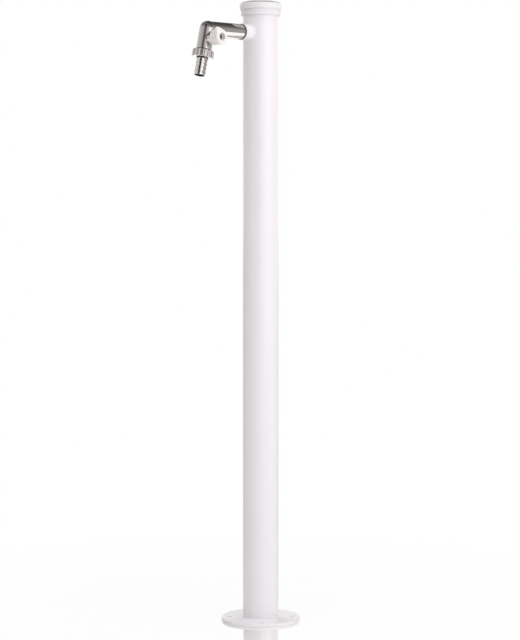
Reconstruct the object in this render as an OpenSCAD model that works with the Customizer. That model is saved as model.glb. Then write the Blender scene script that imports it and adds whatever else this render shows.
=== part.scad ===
// Garden standpipe: a tube column on a bolted foot, with a ball-valve tap and a hose tail.
// Millimetres. The origin is the centre of the foot's underside, +Z is up, the tap points to -Y
// and its handle to +X.

/* [Column] */
// Outside diameter of the column tube
tube_d = 60; // [54:0.5:76]
// Wall of the column tube
tube_wall = 2; // [1.5:0.1:4]
// Length of the column tube
tube_len = 1030; // [500:5:1500]

/* [Foot] */
// Diameter of the foot plate
flange_d = 133; // [128:1:180]
// Thickness of the foot plate
flange_t = 5; // [3:0.5:10]
// Rounding of the plate's top edge
flange_round = 1; // [0.5:0.1:2]
// Circle that the fixing holes lie on
bolt_circle = 108; // [95:1:118]
// Diameter of a fixing hole
bolt_hole_d = 9; // [6:0.5:12]
// Number of fixing holes
bolt_count = 4; // [3:1:8]
// Angle of the first fixing hole from the handle's side
bolt_turn = 45; // [0:1:90]
// Leg of the weld fillet around the tube's foot
weld_leg = 2; // [1.5:0.5:5]

/* [Cap] */
// Wall of the cap's skirt
cap_skirt_wall = 2.5; // [2:0.1:4]
// Depth of the skirt below the top of the tube
cap_skirt_h = 14; // [11:0.5:22]
// Number of round beads on the skirt
cap_bead_count = 2; // [1:1:2]
// How far a bead stands out of the skirt
cap_bead = 0.6; // [0.3:0.1:1.2]
// Height of one bead
cap_bead_h = 3.6; // [2.6:0.1:4.6]
// How far the rim stands out of the skirt
cap_rim_out = 2.5; // [1.5:0.1:4]
// Depth of the rim below the top of the tube
cap_rim_drop = 3.4; // [1:0.1:4]
// Height of the rim above the top of the tube
cap_rim_h = 8; // [5:0.5:10]
// Rounding of the rim's edges
cap_rim_round = 1.6; // [0.5:0.1:2]
// Rise of the dome above the rim
cap_dome_h = 5.5; // [4:0.5:12]
// Wall of the dome
cap_top_wall = 3; // [2:0.1:4]

/* [Sockets and threads] */
// Outside diameter of a welded socket
socket_d = 27; // [25.5:0.1:32]
// Outside diameter of a half-inch pipe thread
thread_d = 20.9; // [19:0.1:22]
// Length of thread that is screwed into a socket
thread_len = 11; // [8:0.5:14]
// Width of the stop between two threads in one socket
thread_space = 3; // [1:0.5:6]
// Waterway through that stop
stop_bore = 16; // [13:0.5:18]
// Length of free thread in the foot's socket, for the supply pipe
supply_thread_len = 15; // [10:0.5:20]
// How far the outlet socket stands out of the tube
boss_out = 16; // [12:0.5:20]
// Distance from the top of the tube down to the tap
tap_drop = 43; // [36:0.5:80]

/* [Riser] */
// Outside diameter of the riser pipe
pipe_d = 15; // [13:0.5:16]
// Wall of the riser pipe
pipe_wall = 1; // [0.7:0.1:1.5]
// Depth that the riser pipe goes into a fitting
pipe_depth = 12; // [8:0.5:16]
// Diameter of a fitting's body
fitting_d = 22; // [21.5:0.1:25]
// Waterway through a fitting
fitting_bore = 12.5; // [10:0.5:12.5]
// Length of a fitting's compression thread
comp_thread_len = 10; // [8:0.5:14]
// Height of the adaptor's hexagon
adaptor_hex_h = 8; // [5:0.5:12]
// Distance from the elbow's centre down to its compression thread
elbow_drop = 20; // [16:0.5:30]
// Width across the flats of the hexagons
hex_af = 25; // [24:0.5:28]
// Height of an olive
olive_h = 6; // [4:0.5:8]
// Wall of an olive
olive_wall = 1.4; // [1:0.1:1.8]
// Thickness of a compression nut's end
nut_end_t = 4; // [2.5:0.5:6]

/* [Tap] */
// Thickness of the washer behind the tap's shoulder
inlet_washer_t = 3.6; // [1:0.1:5]
// How far the inlet washer stands out of the arm
inlet_washer_out = 0.5; // [0.2:0.1:0.8]
// Outside diameter of the arm
arm_d = 25.4; // [24:0.1:26]
// Length of the arm, from its shoulder to the leg's axis
arm_len = 75.8; // [60:0.2:110]
// Waterway of the arm
arm_bore = 13; // [10:0.5:14]
// Outside diameter of the leg and of its ball-shaped top
leg_d = 26; // [25.4:0.1:27]
// Length of the leg, from the arm's axis to the outlet thread
leg_len = 37; // [34:0.5:60]
// Lean of the leg, outwards at its lower end
leg_lean = 13.5; // [0:0.5:20]
// Outside diameter of the outlet thread
outlet_d = 26.4; // [25.6:0.1:27]
// Length of the outlet thread
outlet_len = 6.5; // [5:0.5:10]
// Length of the undercut above the outlet thread
undercut_len = 1.8; // [0.8:0.1:2.5]
// Depth of that undercut in the leg
undercut_depth = 1.2; // [0.4:0.1:1.6]
// Outside diameter of the boss that holds the stem
stem_boss_d = 16; // [15:0.1:17]

/* [Valve] */
// Diameter of the ball
ball_d = 18; // [17:0.1:18.4]
// Waterway through the ball
ball_bore = 10.5; // [8:0.1:11]
// Distance from the arm's axis down to the ball's centre
valve_drop = 15.6; // [15.4:0.1:20]
// How far the ball reaches past the outer face of a seat
ball_pole = 0.8; // [0.4:0.1:1.2]
// Height of a ball seat
seat_h = 3.7; // [3:0.1:4]
// Waterway through a seat
seat_bore = 11; // [9.5:0.1:12]
// Height of the ring that holds the lower seat
seat_ring_h = 5; // [3:0.1:8]
// Width of the spanner slots in that ring
spanner_slot_w = 2; // [1:0.1:3]
// Depth of the spanner slots
spanner_slot_depth = 1.5; // [0.5:0.1:2.5]
// Depth of the slot in the ball
ball_slot_depth = 3; // [2:0.1:3.4]
// Width of the tongue on the stem
tongue_w = 4; // [3:0.1:5]
// Length of the tongue on the stem
tongue_len = 8; // [6:0.1:9]
// Diameter of the stem
stem_d = 7; // [6:0.1:8]
// Diameter of the stem's collar
stem_collar_d = 10; // [9:0.1:10.6]
// Thickness of the stem's collar
stem_collar_t = 2; // [1:0.1:3]
// Thickness of the thrust washer
thrust_washer_t = 0.8; // [0.5:0.1:1.5]
// Outside diameter of the gland nut's thread
gland_thread_d = 12; // [11.4:0.1:12.6]
// Length of the gland nut's thread
gland_thread_len = 6.4; // [4.2:0.1:8]
// Width across the flats of the gland nut
gland_af = 13; // [12.8:0.1:14]
// Height of the gland nut's head
gland_head_h = 3; // [2:0.1:4]
// Thickness of a stem seal
oring_t = 1.1; // [0.8:0.1:1.4]
// Number of stem seals
oring_count = 2; // [1:1:2]

/* [Handle] */
// Diameter of the handle's round knob at its back
knob_d = 26; // [24:0.1:32]
// Thickness of the thumb lug, which is flush with the knob's front
lug_t = 5; // [3:0.1:9]
// Diameter of the thumb lug's round end at its back
lug_d = 12; // [10:0.1:14]
// Distance from the stem's axis to the centre of that end
lug_reach = 12.5; // [10:0.1:18]
// Angle of the lug from the leg with the valve shut, away from the column
lug_turn = 49; // [0:1:90]
// Height of the straight rim at the handle's back
handle_rim = 1; // [0.5:0.1:2]
// Depth of the handle, along the stem
handle_depth = 16.8; // [16:0.1:26]
// Distance from the stem's boss to the handle's back
handle_clear = 3; // [1:0.1:4]
// How far each side draws in from the back to the front
handle_draft = 0.9; // [0.3:0.1:1.5]
// Rounding of the front edge
handle_round = 1.8; // [1:0.1:3]
// Diameter of the recess in the face
recess_d = 13; // [11:0.1:15]
// Depth of the recess in the face
recess_depth = 5.2; // [3:0.1:6]
// Thickness of the wall under the screw's head
handle_web = 2.6; // [2:0.1:4]
// Width across the square end of the stem
square_w = 5; // [4.6:0.1:5.4]
// Length of the step where the handle rests on the stem
shoulder_step = 1; // [0.5:0.1:1.5]
// Diameter of the screw's head
screw_head_d = 8.6; // [7:0.1:9]
// Height of the straight edge of the screw's head
screw_edge_h = 1; // [0.5:0.1:1.4]
// Rise of the head's dome above that edge
screw_dome_h = 1.6; // [0.8:0.1:2]
// Diameter of the screw
screw_d = 3; // [2.5:0.1:3.4]
// Length of screw in the stem
screw_grip = 6; // [4:0.1:7]
// Width of the screw's slot
screw_slot_w = 1.2; // [0.8:0.1:1.6]
// Depth of the screw's slot
screw_slot_depth = 1.1; // [0.6:0.1:1.3]

/* [Hose tail and union nut] */
// Thickness of the hose washer
hose_washer_t = 1.5; // [1:0.1:3]
// Diameter of the tail's collar
collar_d = 24; // [22:0.1:24.8]
// Thickness of the tail's collar
collar_t = 2; // [1.5:0.1:3]
// Diameter of the tail between its barbs
tail_d = 17.4; // [16.4:0.1:18.4]
// Diameter over the barbs
barb_d = 19.2; // [18.6:0.1:20.4]
// Flat land on top of a barb
barb_land = 1; // [0.6:0.1:2]
// Length of one barb
barb_pitch = 6.9; // [5:0.1:9]
// Number of barbs
barb_count = 4; // [2:1:6]
// Length of plain tail above the barbs
tail_neck = 3.5; // [2.6:0.1:6]
// Waterway of the tail
tail_bore = 14.2; // [9:0.1:14.6]
// Outside diameter of the union nut over its ribs
nut_d = 35.4; // [34:0.1:40]
// Thickness of the union nut's lip
nut_lip_t = 2; // [1.5:0.1:3]
// Number of ribs on the union nut
nut_ribs = 18; // [12:1:24]
// Depth of the grooves between the ribs
nut_groove_depth = 1; // [0.6:0.1:1.4]
// Width of the grooves between the ribs
nut_groove_w = 3; // [2:0.1:3.6]
// Chamfer on the union nut's edges
nut_chamfer = 0.9; // [0.4:0.1:1.4]

/* [Clearances] */
// Radial gap in a screwed joint
thread_gap = 0.1; // [0.05:0.01:0.2]
// Radial gap in a welded or pushed joint
push_gap = 0.15; // [0.05:0.01:0.3]
// Radial gap around a turning shaft, and between turning faces
run_gap = 0.05; // [0.02:0.01:0.1]
// Gap between the ball and its seats, and around the stem's tongue
ball_gap = 0.1; // [0.05:0.01:0.2]
// Radial gap between the ball and its chamber
chamber_gap = 0.3; // [0.2:0.05:0.6]
// Gap between the chamber's wall and the stem's collar
collar_gap = 0.4; // [0.2:0.05:0.8]
// Gap where two pieces near each other stay apart
free_gap = 1.2; // [0.8:0.1:2]

/* [Hidden] */
$fn = 96;

// A cut runs past the face that it leaves by this much
past = 1;
tube_r = tube_d / 2;
tube_top = flange_t + tube_len;
tap_z = tube_top - tap_drop;

// Places along the tap's arm, as distances from the column's axis
boss_face = tube_r + boss_out;
boss_len = 2 * thread_len + thread_space;
boss_back = boss_face - boss_len;
shoulder = boss_face + inlet_washer_t;
leg_reach = shoulder + arm_len;
thread_bore_d = thread_d + 2 * thread_gap;

// Heights of the riser's joints
supply_socket_len = supply_thread_len + thread_space + thread_len;
lower_mouth = supply_socket_len + adaptor_hex_h + comp_thread_len;
upper_mouth = tap_z - elbow_drop - comp_thread_len;

// Places along the leg, as distances from the arm's axis
outlet_end = leg_len + outlet_len;
seat_reach = ball_d / 2 - ball_pole;
upper_seat_top = valve_drop - seat_reach;
lower_seat_end = valve_drop + seat_reach;
cavity_d = ball_d + 2 * chamber_gap;
collar_top = outlet_end + run_gap + hose_washer_t;
collar_end = collar_top + collar_t;
nut_lip_top = collar_end + run_gap;
nut_end = nut_lip_top + nut_lip_t;
tail_end = collar_end + tail_neck + barb_count * barb_pitch;

// Places along the stem, as distances from the leg's axis
collar_start = cavity_d / 2 + collar_gap;
washer_start = collar_start + stem_collar_t + run_gap;
gland_start = washer_start + thrust_washer_t;
stem_boss_end = gland_start + gland_thread_len;
gland_end = stem_boss_end + gland_head_h;
handle_back = stem_boss_end + handle_clear;
handle_front = handle_back + handle_depth;
recess_floor = handle_front - recess_depth;
shoulder_p = gland_end + free_gap + shoulder_step;
socket_end = recess_floor - handle_web;
stem_end = socket_end - run_gap;

// Along the tap's arm: local +Z points away from the column
module along_arm(distance) {
    translate([0, -distance, tap_z]) rotate([90, 0, 0]) children();
}

// Along the leg: local -Z points down the leg from the arm's axis
module along_leg(distance) {
    translate([0, -leg_reach, tap_z]) rotate([-leg_lean, 0, 0])
        translate([0, 0, -distance]) children();
}

// Along the stem: local +Z points to the handle and local X down the leg
module along_stem(distance) {
    along_leg(valve_drop) translate([distance, 0, 0]) rotate([0, 90, 0]) children();
}

module ring(outer_d, inner_d, h) {
    difference() {
        cylinder(d = outer_d, h = h);
        translate([0, 0, -past]) cylinder(d = inner_d, h = h + 2 * past);
    }
}

// Radius of the arc that spans a chord and rises above its middle
function arc_radius(chord, rise) = (pow(chord / 2, 2) + pow(rise, 2)) / (2 * rise);

module hexagon(af, h) {
    cylinder(d = af / cos(30), h = h, $fn = 6);
}

module base_flange() {
    flange_r = flange_d / 2;
    weld_r = tube_r + push_gap;
    color("white") difference() {
        union() {
            rotate_extrude() {
                square([flange_r - flange_round, flange_t]);
                square([flange_r, flange_t - flange_round]);
                translate([flange_r - flange_round, flange_t - flange_round]) intersection() {
                    circle(flange_round);
                    square(flange_round);
                }
            }
            rotate_extrude() polygon([
                [weld_r, flange_t - past], [weld_r + weld_leg, flange_t - past],
                [weld_r + weld_leg, flange_t], [weld_r, flange_t + weld_leg]
            ]);
        }
        translate([0, 0, -past])
            cylinder(d = socket_d + 2 * push_gap, h = flange_t + 2 * past);
        for (i = [0 : bolt_count - 1]) rotate(bolt_turn + i * 360 / bolt_count)
            translate([bolt_circle / 2, 0, -past])
                cylinder(d = bolt_hole_d, h = flange_t + 2 * past);
    }
}

module column_tube() {
    color("white") difference() {
        translate([0, 0, flange_t]) ring(tube_d, tube_d - 2 * tube_wall, tube_len);
        along_arm(0) cylinder(d = socket_d + 2 * push_gap, h = tube_d);
    }
}

// A socket stands on local z = 0, with a thread in each end and a stop between them
module threaded_socket(first_thread, second_thread) {
    whole = first_thread + thread_space + second_thread;
    difference() {
        ring(socket_d, stop_bore, whole);
        translate([0, 0, -past]) cylinder(d = thread_bore_d, h = first_thread + past);
        translate([0, 0, whole - second_thread]) cylinder(d = thread_bore_d, h = second_thread + past);
    }
}

module outlet_boss() {
    color("white") along_arm(boss_back) threaded_socket(thread_len, thread_len);
}

module top_cap() {
    inner_r = tube_r + push_gap;
    skirt_r = inner_r + cap_skirt_wall;
    rim_r = skirt_r + cap_rim_out;
    seat_r = tube_r - tube_wall;
    dome_r = rim_r - cap_rim_round;
    dome_sphere = arc_radius(2 * dome_r, cap_dome_h);
    bead_r = arc_radius(cap_bead_h, cap_bead);
    bead_step = (cap_skirt_h - cap_rim_drop) / cap_bead_count;
    color("white") translate([0, 0, tube_top]) difference() {
        union() {
            rotate_extrude() {
                translate([0, -cap_skirt_h]) square([skirt_r, cap_skirt_h]);
                translate([0, -cap_rim_drop]) square([rim_r, cap_rim_drop + cap_rim_h - cap_rim_round]);
                square([dome_r, cap_rim_h]);
                translate([dome_r, cap_rim_h - cap_rim_round]) intersection() {
                    circle(cap_rim_round);
                    square(cap_rim_round);
                }
            }
            for (i = [0 : cap_bead_count - 1]) translate([0, 0, -cap_skirt_h + (i + 0.5) * bead_step])
                rotate_extrude() intersection() {
                    translate([skirt_r + cap_bead - bead_r, 0]) circle(bead_r);
                    translate([skirt_r - cap_bead, -cap_bead_h / 2])
                        square([2 * cap_bead, cap_bead_h]);
                }
            intersection() {
                translate([0, 0, cap_rim_h + cap_dome_h - dome_sphere]) sphere(dome_sphere);
                cylinder(r = dome_r, h = cap_rim_h + cap_dome_h + past);
            }
        }
        translate([0, 0, -cap_skirt_h - past]) cylinder(r = inner_r, h = cap_skirt_h + past);
        intersection() {
            translate([0, 0, cap_rim_h + cap_dome_h - dome_sphere])
                sphere(dome_sphere - cap_top_wall);
            translate([0, 0, -past])
                cylinder(r = seat_r, h = cap_rim_h + cap_dome_h + past);
        }
    }
}

module inlet_socket() {
    color("gainsboro") threaded_socket(supply_thread_len, thread_len);
}

// A compression joint stands on a fitting's mouth, with the pipe leaving along +Z
module compression_thread() {
    translate([0, 0, -comp_thread_len]) cylinder(d = thread_d, h = comp_thread_len);
}

module pipe_socket() {
    translate([0, 0, -pipe_depth]) cylinder(d = pipe_d + 2 * push_gap, h = pipe_depth + past);
}

module olive() {
    outer_r = pipe_d / 2 + push_gap + olive_wall;
    inner_r = pipe_d / 2 + push_gap;
    bevel = olive_wall / 2;
    rotate_extrude() polygon([
        [inner_r, 0], [outer_r - bevel, 0], [outer_r, bevel], [outer_r, olive_h - bevel],
        [outer_r - bevel, olive_h], [inner_r, olive_h]
    ]);
}

module compression_nut() {
    skirt = comp_thread_len - free_gap;
    difference() {
        translate([0, 0, -skirt]) hexagon(hex_af, skirt + olive_h + nut_end_t);
        translate([0, 0, -skirt - past]) cylinder(d = thread_bore_d, h = skirt + past + olive_h);
        cylinder(d = pipe_d + 2 * push_gap, h = olive_h + nut_end_t + past);
    }
}

module lower_adaptor() {
    hex_bottom = supply_socket_len;
    color("goldenrod") difference() {
        union() {
            translate([0, 0, hex_bottom - thread_len]) cylinder(d = thread_d, h = thread_len);
            translate([0, 0, hex_bottom]) hexagon(hex_af, adaptor_hex_h);
            translate([0, 0, lower_mouth]) compression_thread();
        }
        cylinder(d = fitting_bore, h = lower_mouth + past);
        translate([0, 0, lower_mouth]) pipe_socket();
    }
}

module lower_olive() {
    color("peru") translate([0, 0, lower_mouth]) olive();
}

module lower_nut() {
    color("goldenrod") translate([0, 0, lower_mouth]) compression_nut();
}

module riser_pipe() {
    bottom = lower_mouth - pipe_depth;
    top = upper_mouth + pipe_depth;
    color("peru") translate([0, 0, bottom]) ring(pipe_d, pipe_d - 2 * pipe_wall, top - bottom);
}

module at_upper_mouth() {
    translate([0, 0, upper_mouth]) mirror([0, 0, 1]) children();
}

module upper_nut() {
    color("goldenrod") at_upper_mouth() compression_nut();
}

module upper_olive() {
    color("peru") at_upper_mouth() olive();
}

module riser_elbow() {
    color("goldenrod") difference() {
        union() {
            translate([0, 0, tap_z - elbow_drop]) cylinder(d = fitting_d, h = elbow_drop + fitting_d / 2);
            along_arm(0) cylinder(d = fitting_d - 2 * push_gap, h = boss_back);
            along_arm(boss_back) cylinder(d = thread_d, h = thread_len);
            at_upper_mouth() compression_thread();
        }
        at_upper_mouth() pipe_socket();
        translate([0, 0, upper_mouth]) cylinder(d = fitting_bore, h = tap_z - upper_mouth);
        along_arm(0) cylinder(d = fitting_bore - 2 * push_gap, h = boss_back + thread_len + past);
    }
}

module inlet_washer() {
    color("dimgray") along_arm(boss_face)
        ring(arm_d + 2 * inlet_washer_out, thread_d + 2 * push_gap, inlet_washer_t);
}

module arm_form() {
    along_arm(boss_face - thread_len)
        cylinder(d = thread_d, h = thread_len + inlet_washer_t + past);
    along_arm(shoulder) cylinder(d = arm_d, h = arm_len);
}

// The leg with its ball-shaped top, as one turned shape
module leg_form() {
    plain_len = leg_len - undercut_len;
    ball_r = max(leg_d, arm_d) / 2;
    along_leg(plain_len) rotate_extrude() {
        square([leg_d / 2, plain_len]);
        translate([0, plain_len]) intersection() {
            circle(ball_r);
            square(ball_r);
        }
    }
    along_leg(leg_len) cylinder(d = leg_d - 2 * undercut_depth, h = undercut_len);
    along_leg(outlet_end) cylinder(d = outlet_d, h = outlet_len);
}

module tap_body() {
    color("silver") difference() {
        union() {
            arm_form();
            leg_form();
            along_stem(0) cylinder(d = stem_boss_d, h = stem_boss_end);
        }
        along_arm(boss_face - thread_len - past)
            cylinder(d = arm_bore, h = thread_len + past + inlet_washer_t + arm_len);
        along_leg(valve_drop) cylinder(d = seat_bore, h = valve_drop);
        along_leg(outlet_end + past)
            cylinder(d = cavity_d, h = outlet_end + past - upper_seat_top);
        along_stem(0) cylinder(d = stem_collar_d + 2 * run_gap, h = stem_boss_end);
        along_stem(gland_start)
            cylinder(d = gland_thread_d + 2 * thread_gap, h = gland_thread_len + past);
    }
}

// A seat stands on local z = 0 with the ball's centre above it
module seat() {
    difference() {
        ring(cavity_d - 2 * push_gap, seat_bore, seat_h);
        translate([0, 0, seat_reach]) sphere(d = ball_d + 2 * ball_gap);
    }
}

module upper_seat() {
    color("ivory") along_leg(upper_seat_top) mirror([0, 0, 1]) seat();
}

module lower_seat() {
    color("ivory") along_leg(lower_seat_end) seat();
}

module seat_ring() {
    color("goldenrod") along_leg(lower_seat_end + seat_ring_h) difference() {
        ring(cavity_d - 2 * thread_gap, seat_bore, seat_ring_h);
        translate([-cavity_d / 2, -spanner_slot_w / 2, -past])
            cube([cavity_d, spanner_slot_w, spanner_slot_depth + past]);
    }
}

module thrust_washer() {
    color("ivory") along_stem(washer_start)
        ring(stem_collar_d, stem_d + 2 * run_gap, thrust_washer_t);
}

module gland_nut() {
    color("silver") difference() {
        union() {
            along_stem(gland_start) cylinder(d = gland_thread_d, h = gland_thread_len);
            along_stem(stem_boss_end) hexagon(gland_af, gland_head_h);
        }
        along_stem(gland_start - past)
            cylinder(d = stem_d + 2 * run_gap, h = gland_end - gland_start + 2 * past);
    }
}

module valve_ball() {
    slot_w = tongue_w + 2 * ball_gap;
    color("silver") along_stem(0) difference() {
        sphere(d = ball_d);
        rotate([90, 0, 0]) cylinder(d = ball_bore, h = ball_d + 2 * past, center = true);
        translate([-ball_d / 2, -slot_w / 2, ball_d / 2 - ball_slot_depth])
            cube([ball_d, slot_w, ball_slot_depth + past]);
    }
}

oring_groove_w = oring_t + 2 * ball_gap;
oring_inner_d = stem_d - 2 * oring_t - 2 * run_gap;
oring_step = gland_thread_len / oring_count;
function oring_place(i) = gland_start + (i + 0.5) * oring_step;

module valve_stem() {
    tongue_start = ball_d / 2 - ball_slot_depth + ball_gap;
    color("goldenrod") difference() {
        union() {
            along_stem(collar_start) cylinder(d = stem_collar_d, h = stem_collar_t);
            along_stem(collar_start) cylinder(d = stem_d, h = shoulder_p - collar_start);
            along_stem(tongue_start) translate([-tongue_len / 2, -tongue_w / 2, 0])
                cube([tongue_len, tongue_w, collar_start - tongue_start + past]);
            along_stem(shoulder_p - past) translate([-square_w / 2, -square_w / 2, 0])
                cube([square_w, square_w, stem_end - shoulder_p + past]);
        }
        for (i = [0 : oring_count - 1]) along_stem(oring_place(i) - oring_groove_w / 2)
            ring(stem_d + 2 * past, oring_inner_d, oring_groove_w);
        along_stem(stem_end - screw_grip - past)
            cylinder(d = screw_d + 2 * thread_gap, h = screw_grip + 2 * past);
    }
}

module stem_orings() {
    color("dimgray") for (i = [0 : oring_count - 1]) along_stem(oring_place(i))
        rotate_extrude() translate([oring_inner_d / 2 + oring_t / 2 + run_gap, 0]) circle(d = oring_t);
}

// Two rounds that a hull joins: one at a local height, and one with a rounded edge at the front
module handle_round_form(back_r, front_r, start) {
    translate([0, 0, start]) cylinder(r = back_r, h = handle_rim, $fn = 64);
    translate([0, 0, handle_depth - handle_round]) rotate_extrude($fn = 64)
        translate([front_r - handle_round, 0]) circle(handle_round, $fn = 24);
}

// The knob, and at its front the thumb lug that points up the leg
module handle_form() {
    knob_r = knob_d / 2;
    lug_r = lug_d / 2;
    lug_start = handle_depth - lug_t;
    root_r = knob_r - handle_draft - push_gap;
    hull() handle_round_form(knob_r, knob_r - handle_draft, 0);
    hull() {
        handle_round_form(root_r, root_r, lug_start);
        translate([-lug_reach, 0, 0]) handle_round_form(lug_r, lug_r - handle_draft, lug_start);
    }
}

module handle() {
    gland_room = gland_af / cos(30) + free_gap;
    back_recess = gland_end + free_gap - handle_back;
    socket_w = square_w + 2 * push_gap;
    color("white") along_stem(handle_back) difference() {
        rotate(lug_turn) handle_form();
        translate([0, 0, recess_floor - handle_back])
            cylinder(d = recess_d, h = recess_depth + past);
        translate([0, 0, -past]) cylinder(d = gland_room, h = back_recess + past);
        cylinder(d = stem_d + 2 * push_gap, h = shoulder_p - handle_back);
        translate([-socket_w / 2, -socket_w / 2, 0])
            cube([socket_w, socket_w, socket_end - handle_back]);
        cylinder(d = screw_d + 2 * push_gap, h = handle_depth);
    }
}

module handle_screw() {
    edge_top = recess_floor + screw_edge_h;
    head_top = edge_top + screw_dome_h;
    dome_r = arc_radius(screw_head_d, screw_dome_h);
    color("silver") along_stem(0) difference() {
        union() {
            intersection() {
                translate([0, 0, head_top - dome_r]) sphere(dome_r);
                translate([0, 0, recess_floor])
                    cylinder(d = screw_head_d, h = head_top - recess_floor + past);
            }
            translate([0, 0, stem_end - screw_grip])
                cylinder(d = screw_d, h = edge_top - stem_end + screw_grip);
        }
        translate([-screw_head_d, -screw_slot_w / 2, head_top - screw_slot_depth])
            cube([2 * screw_head_d, screw_slot_w, screw_slot_depth + past]);
    }
}

module hose_washer() {
    color("dimgray") along_leg(collar_top) ring(collar_d, tail_bore, hose_washer_t);
}

// The tail's outline, from its free end at y = 0 up to the collar
module tail_outline() {
    root_r = tail_d / 2;
    crest_r = barb_d / 2;
    barbs = [for (i = [0 : barb_count - 1]) each [
        [root_r, i * barb_pitch],
        [crest_r, (i + 1) * barb_pitch - barb_land],
        [crest_r, (i + 1) * barb_pitch],
        [root_r, (i + 1) * barb_pitch]
    ]];
    collar_y = barb_count * barb_pitch + tail_neck;
    polygon(concat([[tail_bore / 2, 0]], barbs, [
        [root_r, collar_y], [collar_d / 2, collar_y], [collar_d / 2, collar_y + collar_t],
        [tail_bore / 2, collar_y + collar_t]
    ]));
}

module hose_tail() {
    color("silver") along_leg(tail_end) rotate_extrude() tail_outline();
}

module union_nut() {
    nut_h = nut_end - leg_len;
    nut_r = nut_d / 2;
    groove_r = arc_radius(nut_groove_w, nut_groove_depth);
    groove_centre = nut_r - nut_groove_depth + groove_r;
    color("silver") along_leg(nut_end) difference() {
        rotate_extrude() polygon([
            [barb_d / 2 + 2 * push_gap, 0], [nut_r - nut_chamfer, 0], [nut_r, nut_chamfer],
            [nut_r, nut_h - nut_chamfer], [nut_r - nut_chamfer, nut_h],
            [outlet_d / 2 + thread_gap, nut_h], [outlet_d / 2 + thread_gap, nut_lip_t],
            [barb_d / 2 + 2 * push_gap, nut_lip_t]
        ]);
        for (i = [0 : nut_ribs - 1]) rotate(i * 360 / nut_ribs) translate([groove_centre, 0, -past])
            cylinder(r = groove_r, h = nut_h + 2 * past);
    }
}

base_flange();
column_tube();
outlet_boss();
top_cap();
inlet_socket();
lower_adaptor();
lower_olive();
lower_nut();
riser_pipe();
upper_nut();
upper_olive();
riser_elbow();
inlet_washer();
tap_body();
upper_seat();
lower_seat();
seat_ring();
thrust_washer();
gland_nut();
valve_ball();
valve_stem();
stem_orings();
handle();
handle_screw();
hose_washer();
hose_tail();
union_nut();
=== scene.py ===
"""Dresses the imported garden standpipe: smooth pieces, finishes, a white stage and the camera.

Everything is in metres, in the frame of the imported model: the origin is the centre of the foot's
underside, +Z is up, the tap points to -Y and its handle to +X.
"""

import collections
import math

import bmesh
import bpy
import numpy
from mathutils import Matrix, Vector


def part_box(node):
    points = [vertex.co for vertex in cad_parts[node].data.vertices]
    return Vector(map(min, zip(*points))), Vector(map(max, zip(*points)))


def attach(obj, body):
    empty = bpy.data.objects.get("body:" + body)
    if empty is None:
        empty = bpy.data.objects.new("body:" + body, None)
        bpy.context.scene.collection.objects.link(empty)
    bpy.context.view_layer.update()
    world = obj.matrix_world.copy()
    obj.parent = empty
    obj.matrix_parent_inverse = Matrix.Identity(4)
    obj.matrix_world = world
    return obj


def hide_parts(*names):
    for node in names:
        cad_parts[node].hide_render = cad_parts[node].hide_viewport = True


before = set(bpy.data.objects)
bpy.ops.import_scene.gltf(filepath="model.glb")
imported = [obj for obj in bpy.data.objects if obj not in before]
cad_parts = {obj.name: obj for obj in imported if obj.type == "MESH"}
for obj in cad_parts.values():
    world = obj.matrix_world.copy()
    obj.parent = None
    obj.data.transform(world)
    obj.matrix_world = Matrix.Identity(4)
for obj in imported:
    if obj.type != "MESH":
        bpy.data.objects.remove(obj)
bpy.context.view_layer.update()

bl_info = {
    "name": "Garden Standpipe",
    "version": (1, 0, 0),
    "blender": (4, 5, 0),
    "location": "3D View > Sidebar > Standpipe",
    "description": "Dresses a packed garden standpipe with smooth pieces, finishes and a stage",
    "category": "Object",
}

MM = 0.001
FULL_TURN = 2 * math.pi
QUARTER_TURN = math.pi / 2
AXIS_RADIUS = 1e-7
MERGE_DISTANCE = 1e-6
SHARP_ANGLE = math.radians(32)
SATIN_SHINE = 0.35
WHITE = (1.0, 1.0, 1.0)

# Steps of a rounding, and facets around large, middling and small turned pieces
ROUND_STEPS = 6
LARGE_TURN = 256
MIDDLE_TURN = 128
SMALL_TURN = 64

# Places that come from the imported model
TUBE_LOW, TUBE_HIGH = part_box("column_tube")
FOOT_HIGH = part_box("base_flange")[1]
BOSS_LOW, BOSS_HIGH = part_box("outlet_boss")
WASHER_LOW, WASHER_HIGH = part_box("inlet_washer")
CAP_LOW, CAP_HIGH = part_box("top_cap")
SOCKET_LOW, SOCKET_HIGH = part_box("inlet_socket")
TAP_HEIGHT = (BOSS_LOW.z + BOSS_HIGH.z) / 2
BOSS_FACE = -BOSS_LOW.y
SHOULDER = -WASHER_LOW.y


def length(name, description, default):
    """A size in metres that a user can change."""
    return bpy.props.FloatProperty(
        name=name, description=description, default=default, min=0.0, unit="LENGTH", precision=5
    )


def number(name, description, default):
    """A plain number that a user can change."""
    return bpy.props.FloatProperty(name=name, description=description, default=default, min=0.0)


def angle(name, description, degrees):
    """An angle that a user can change."""
    return bpy.props.FloatProperty(
        name=name, description=description, default=math.radians(degrees), unit="ROTATION", subtype="ANGLE"
    )


def colour(name, description, default):
    """A colour that a user can change."""
    return bpy.props.FloatVectorProperty(
        name=name, description=description, default=default, size=3, min=0.0, max=1.0, subtype="COLOR"
    )


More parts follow.
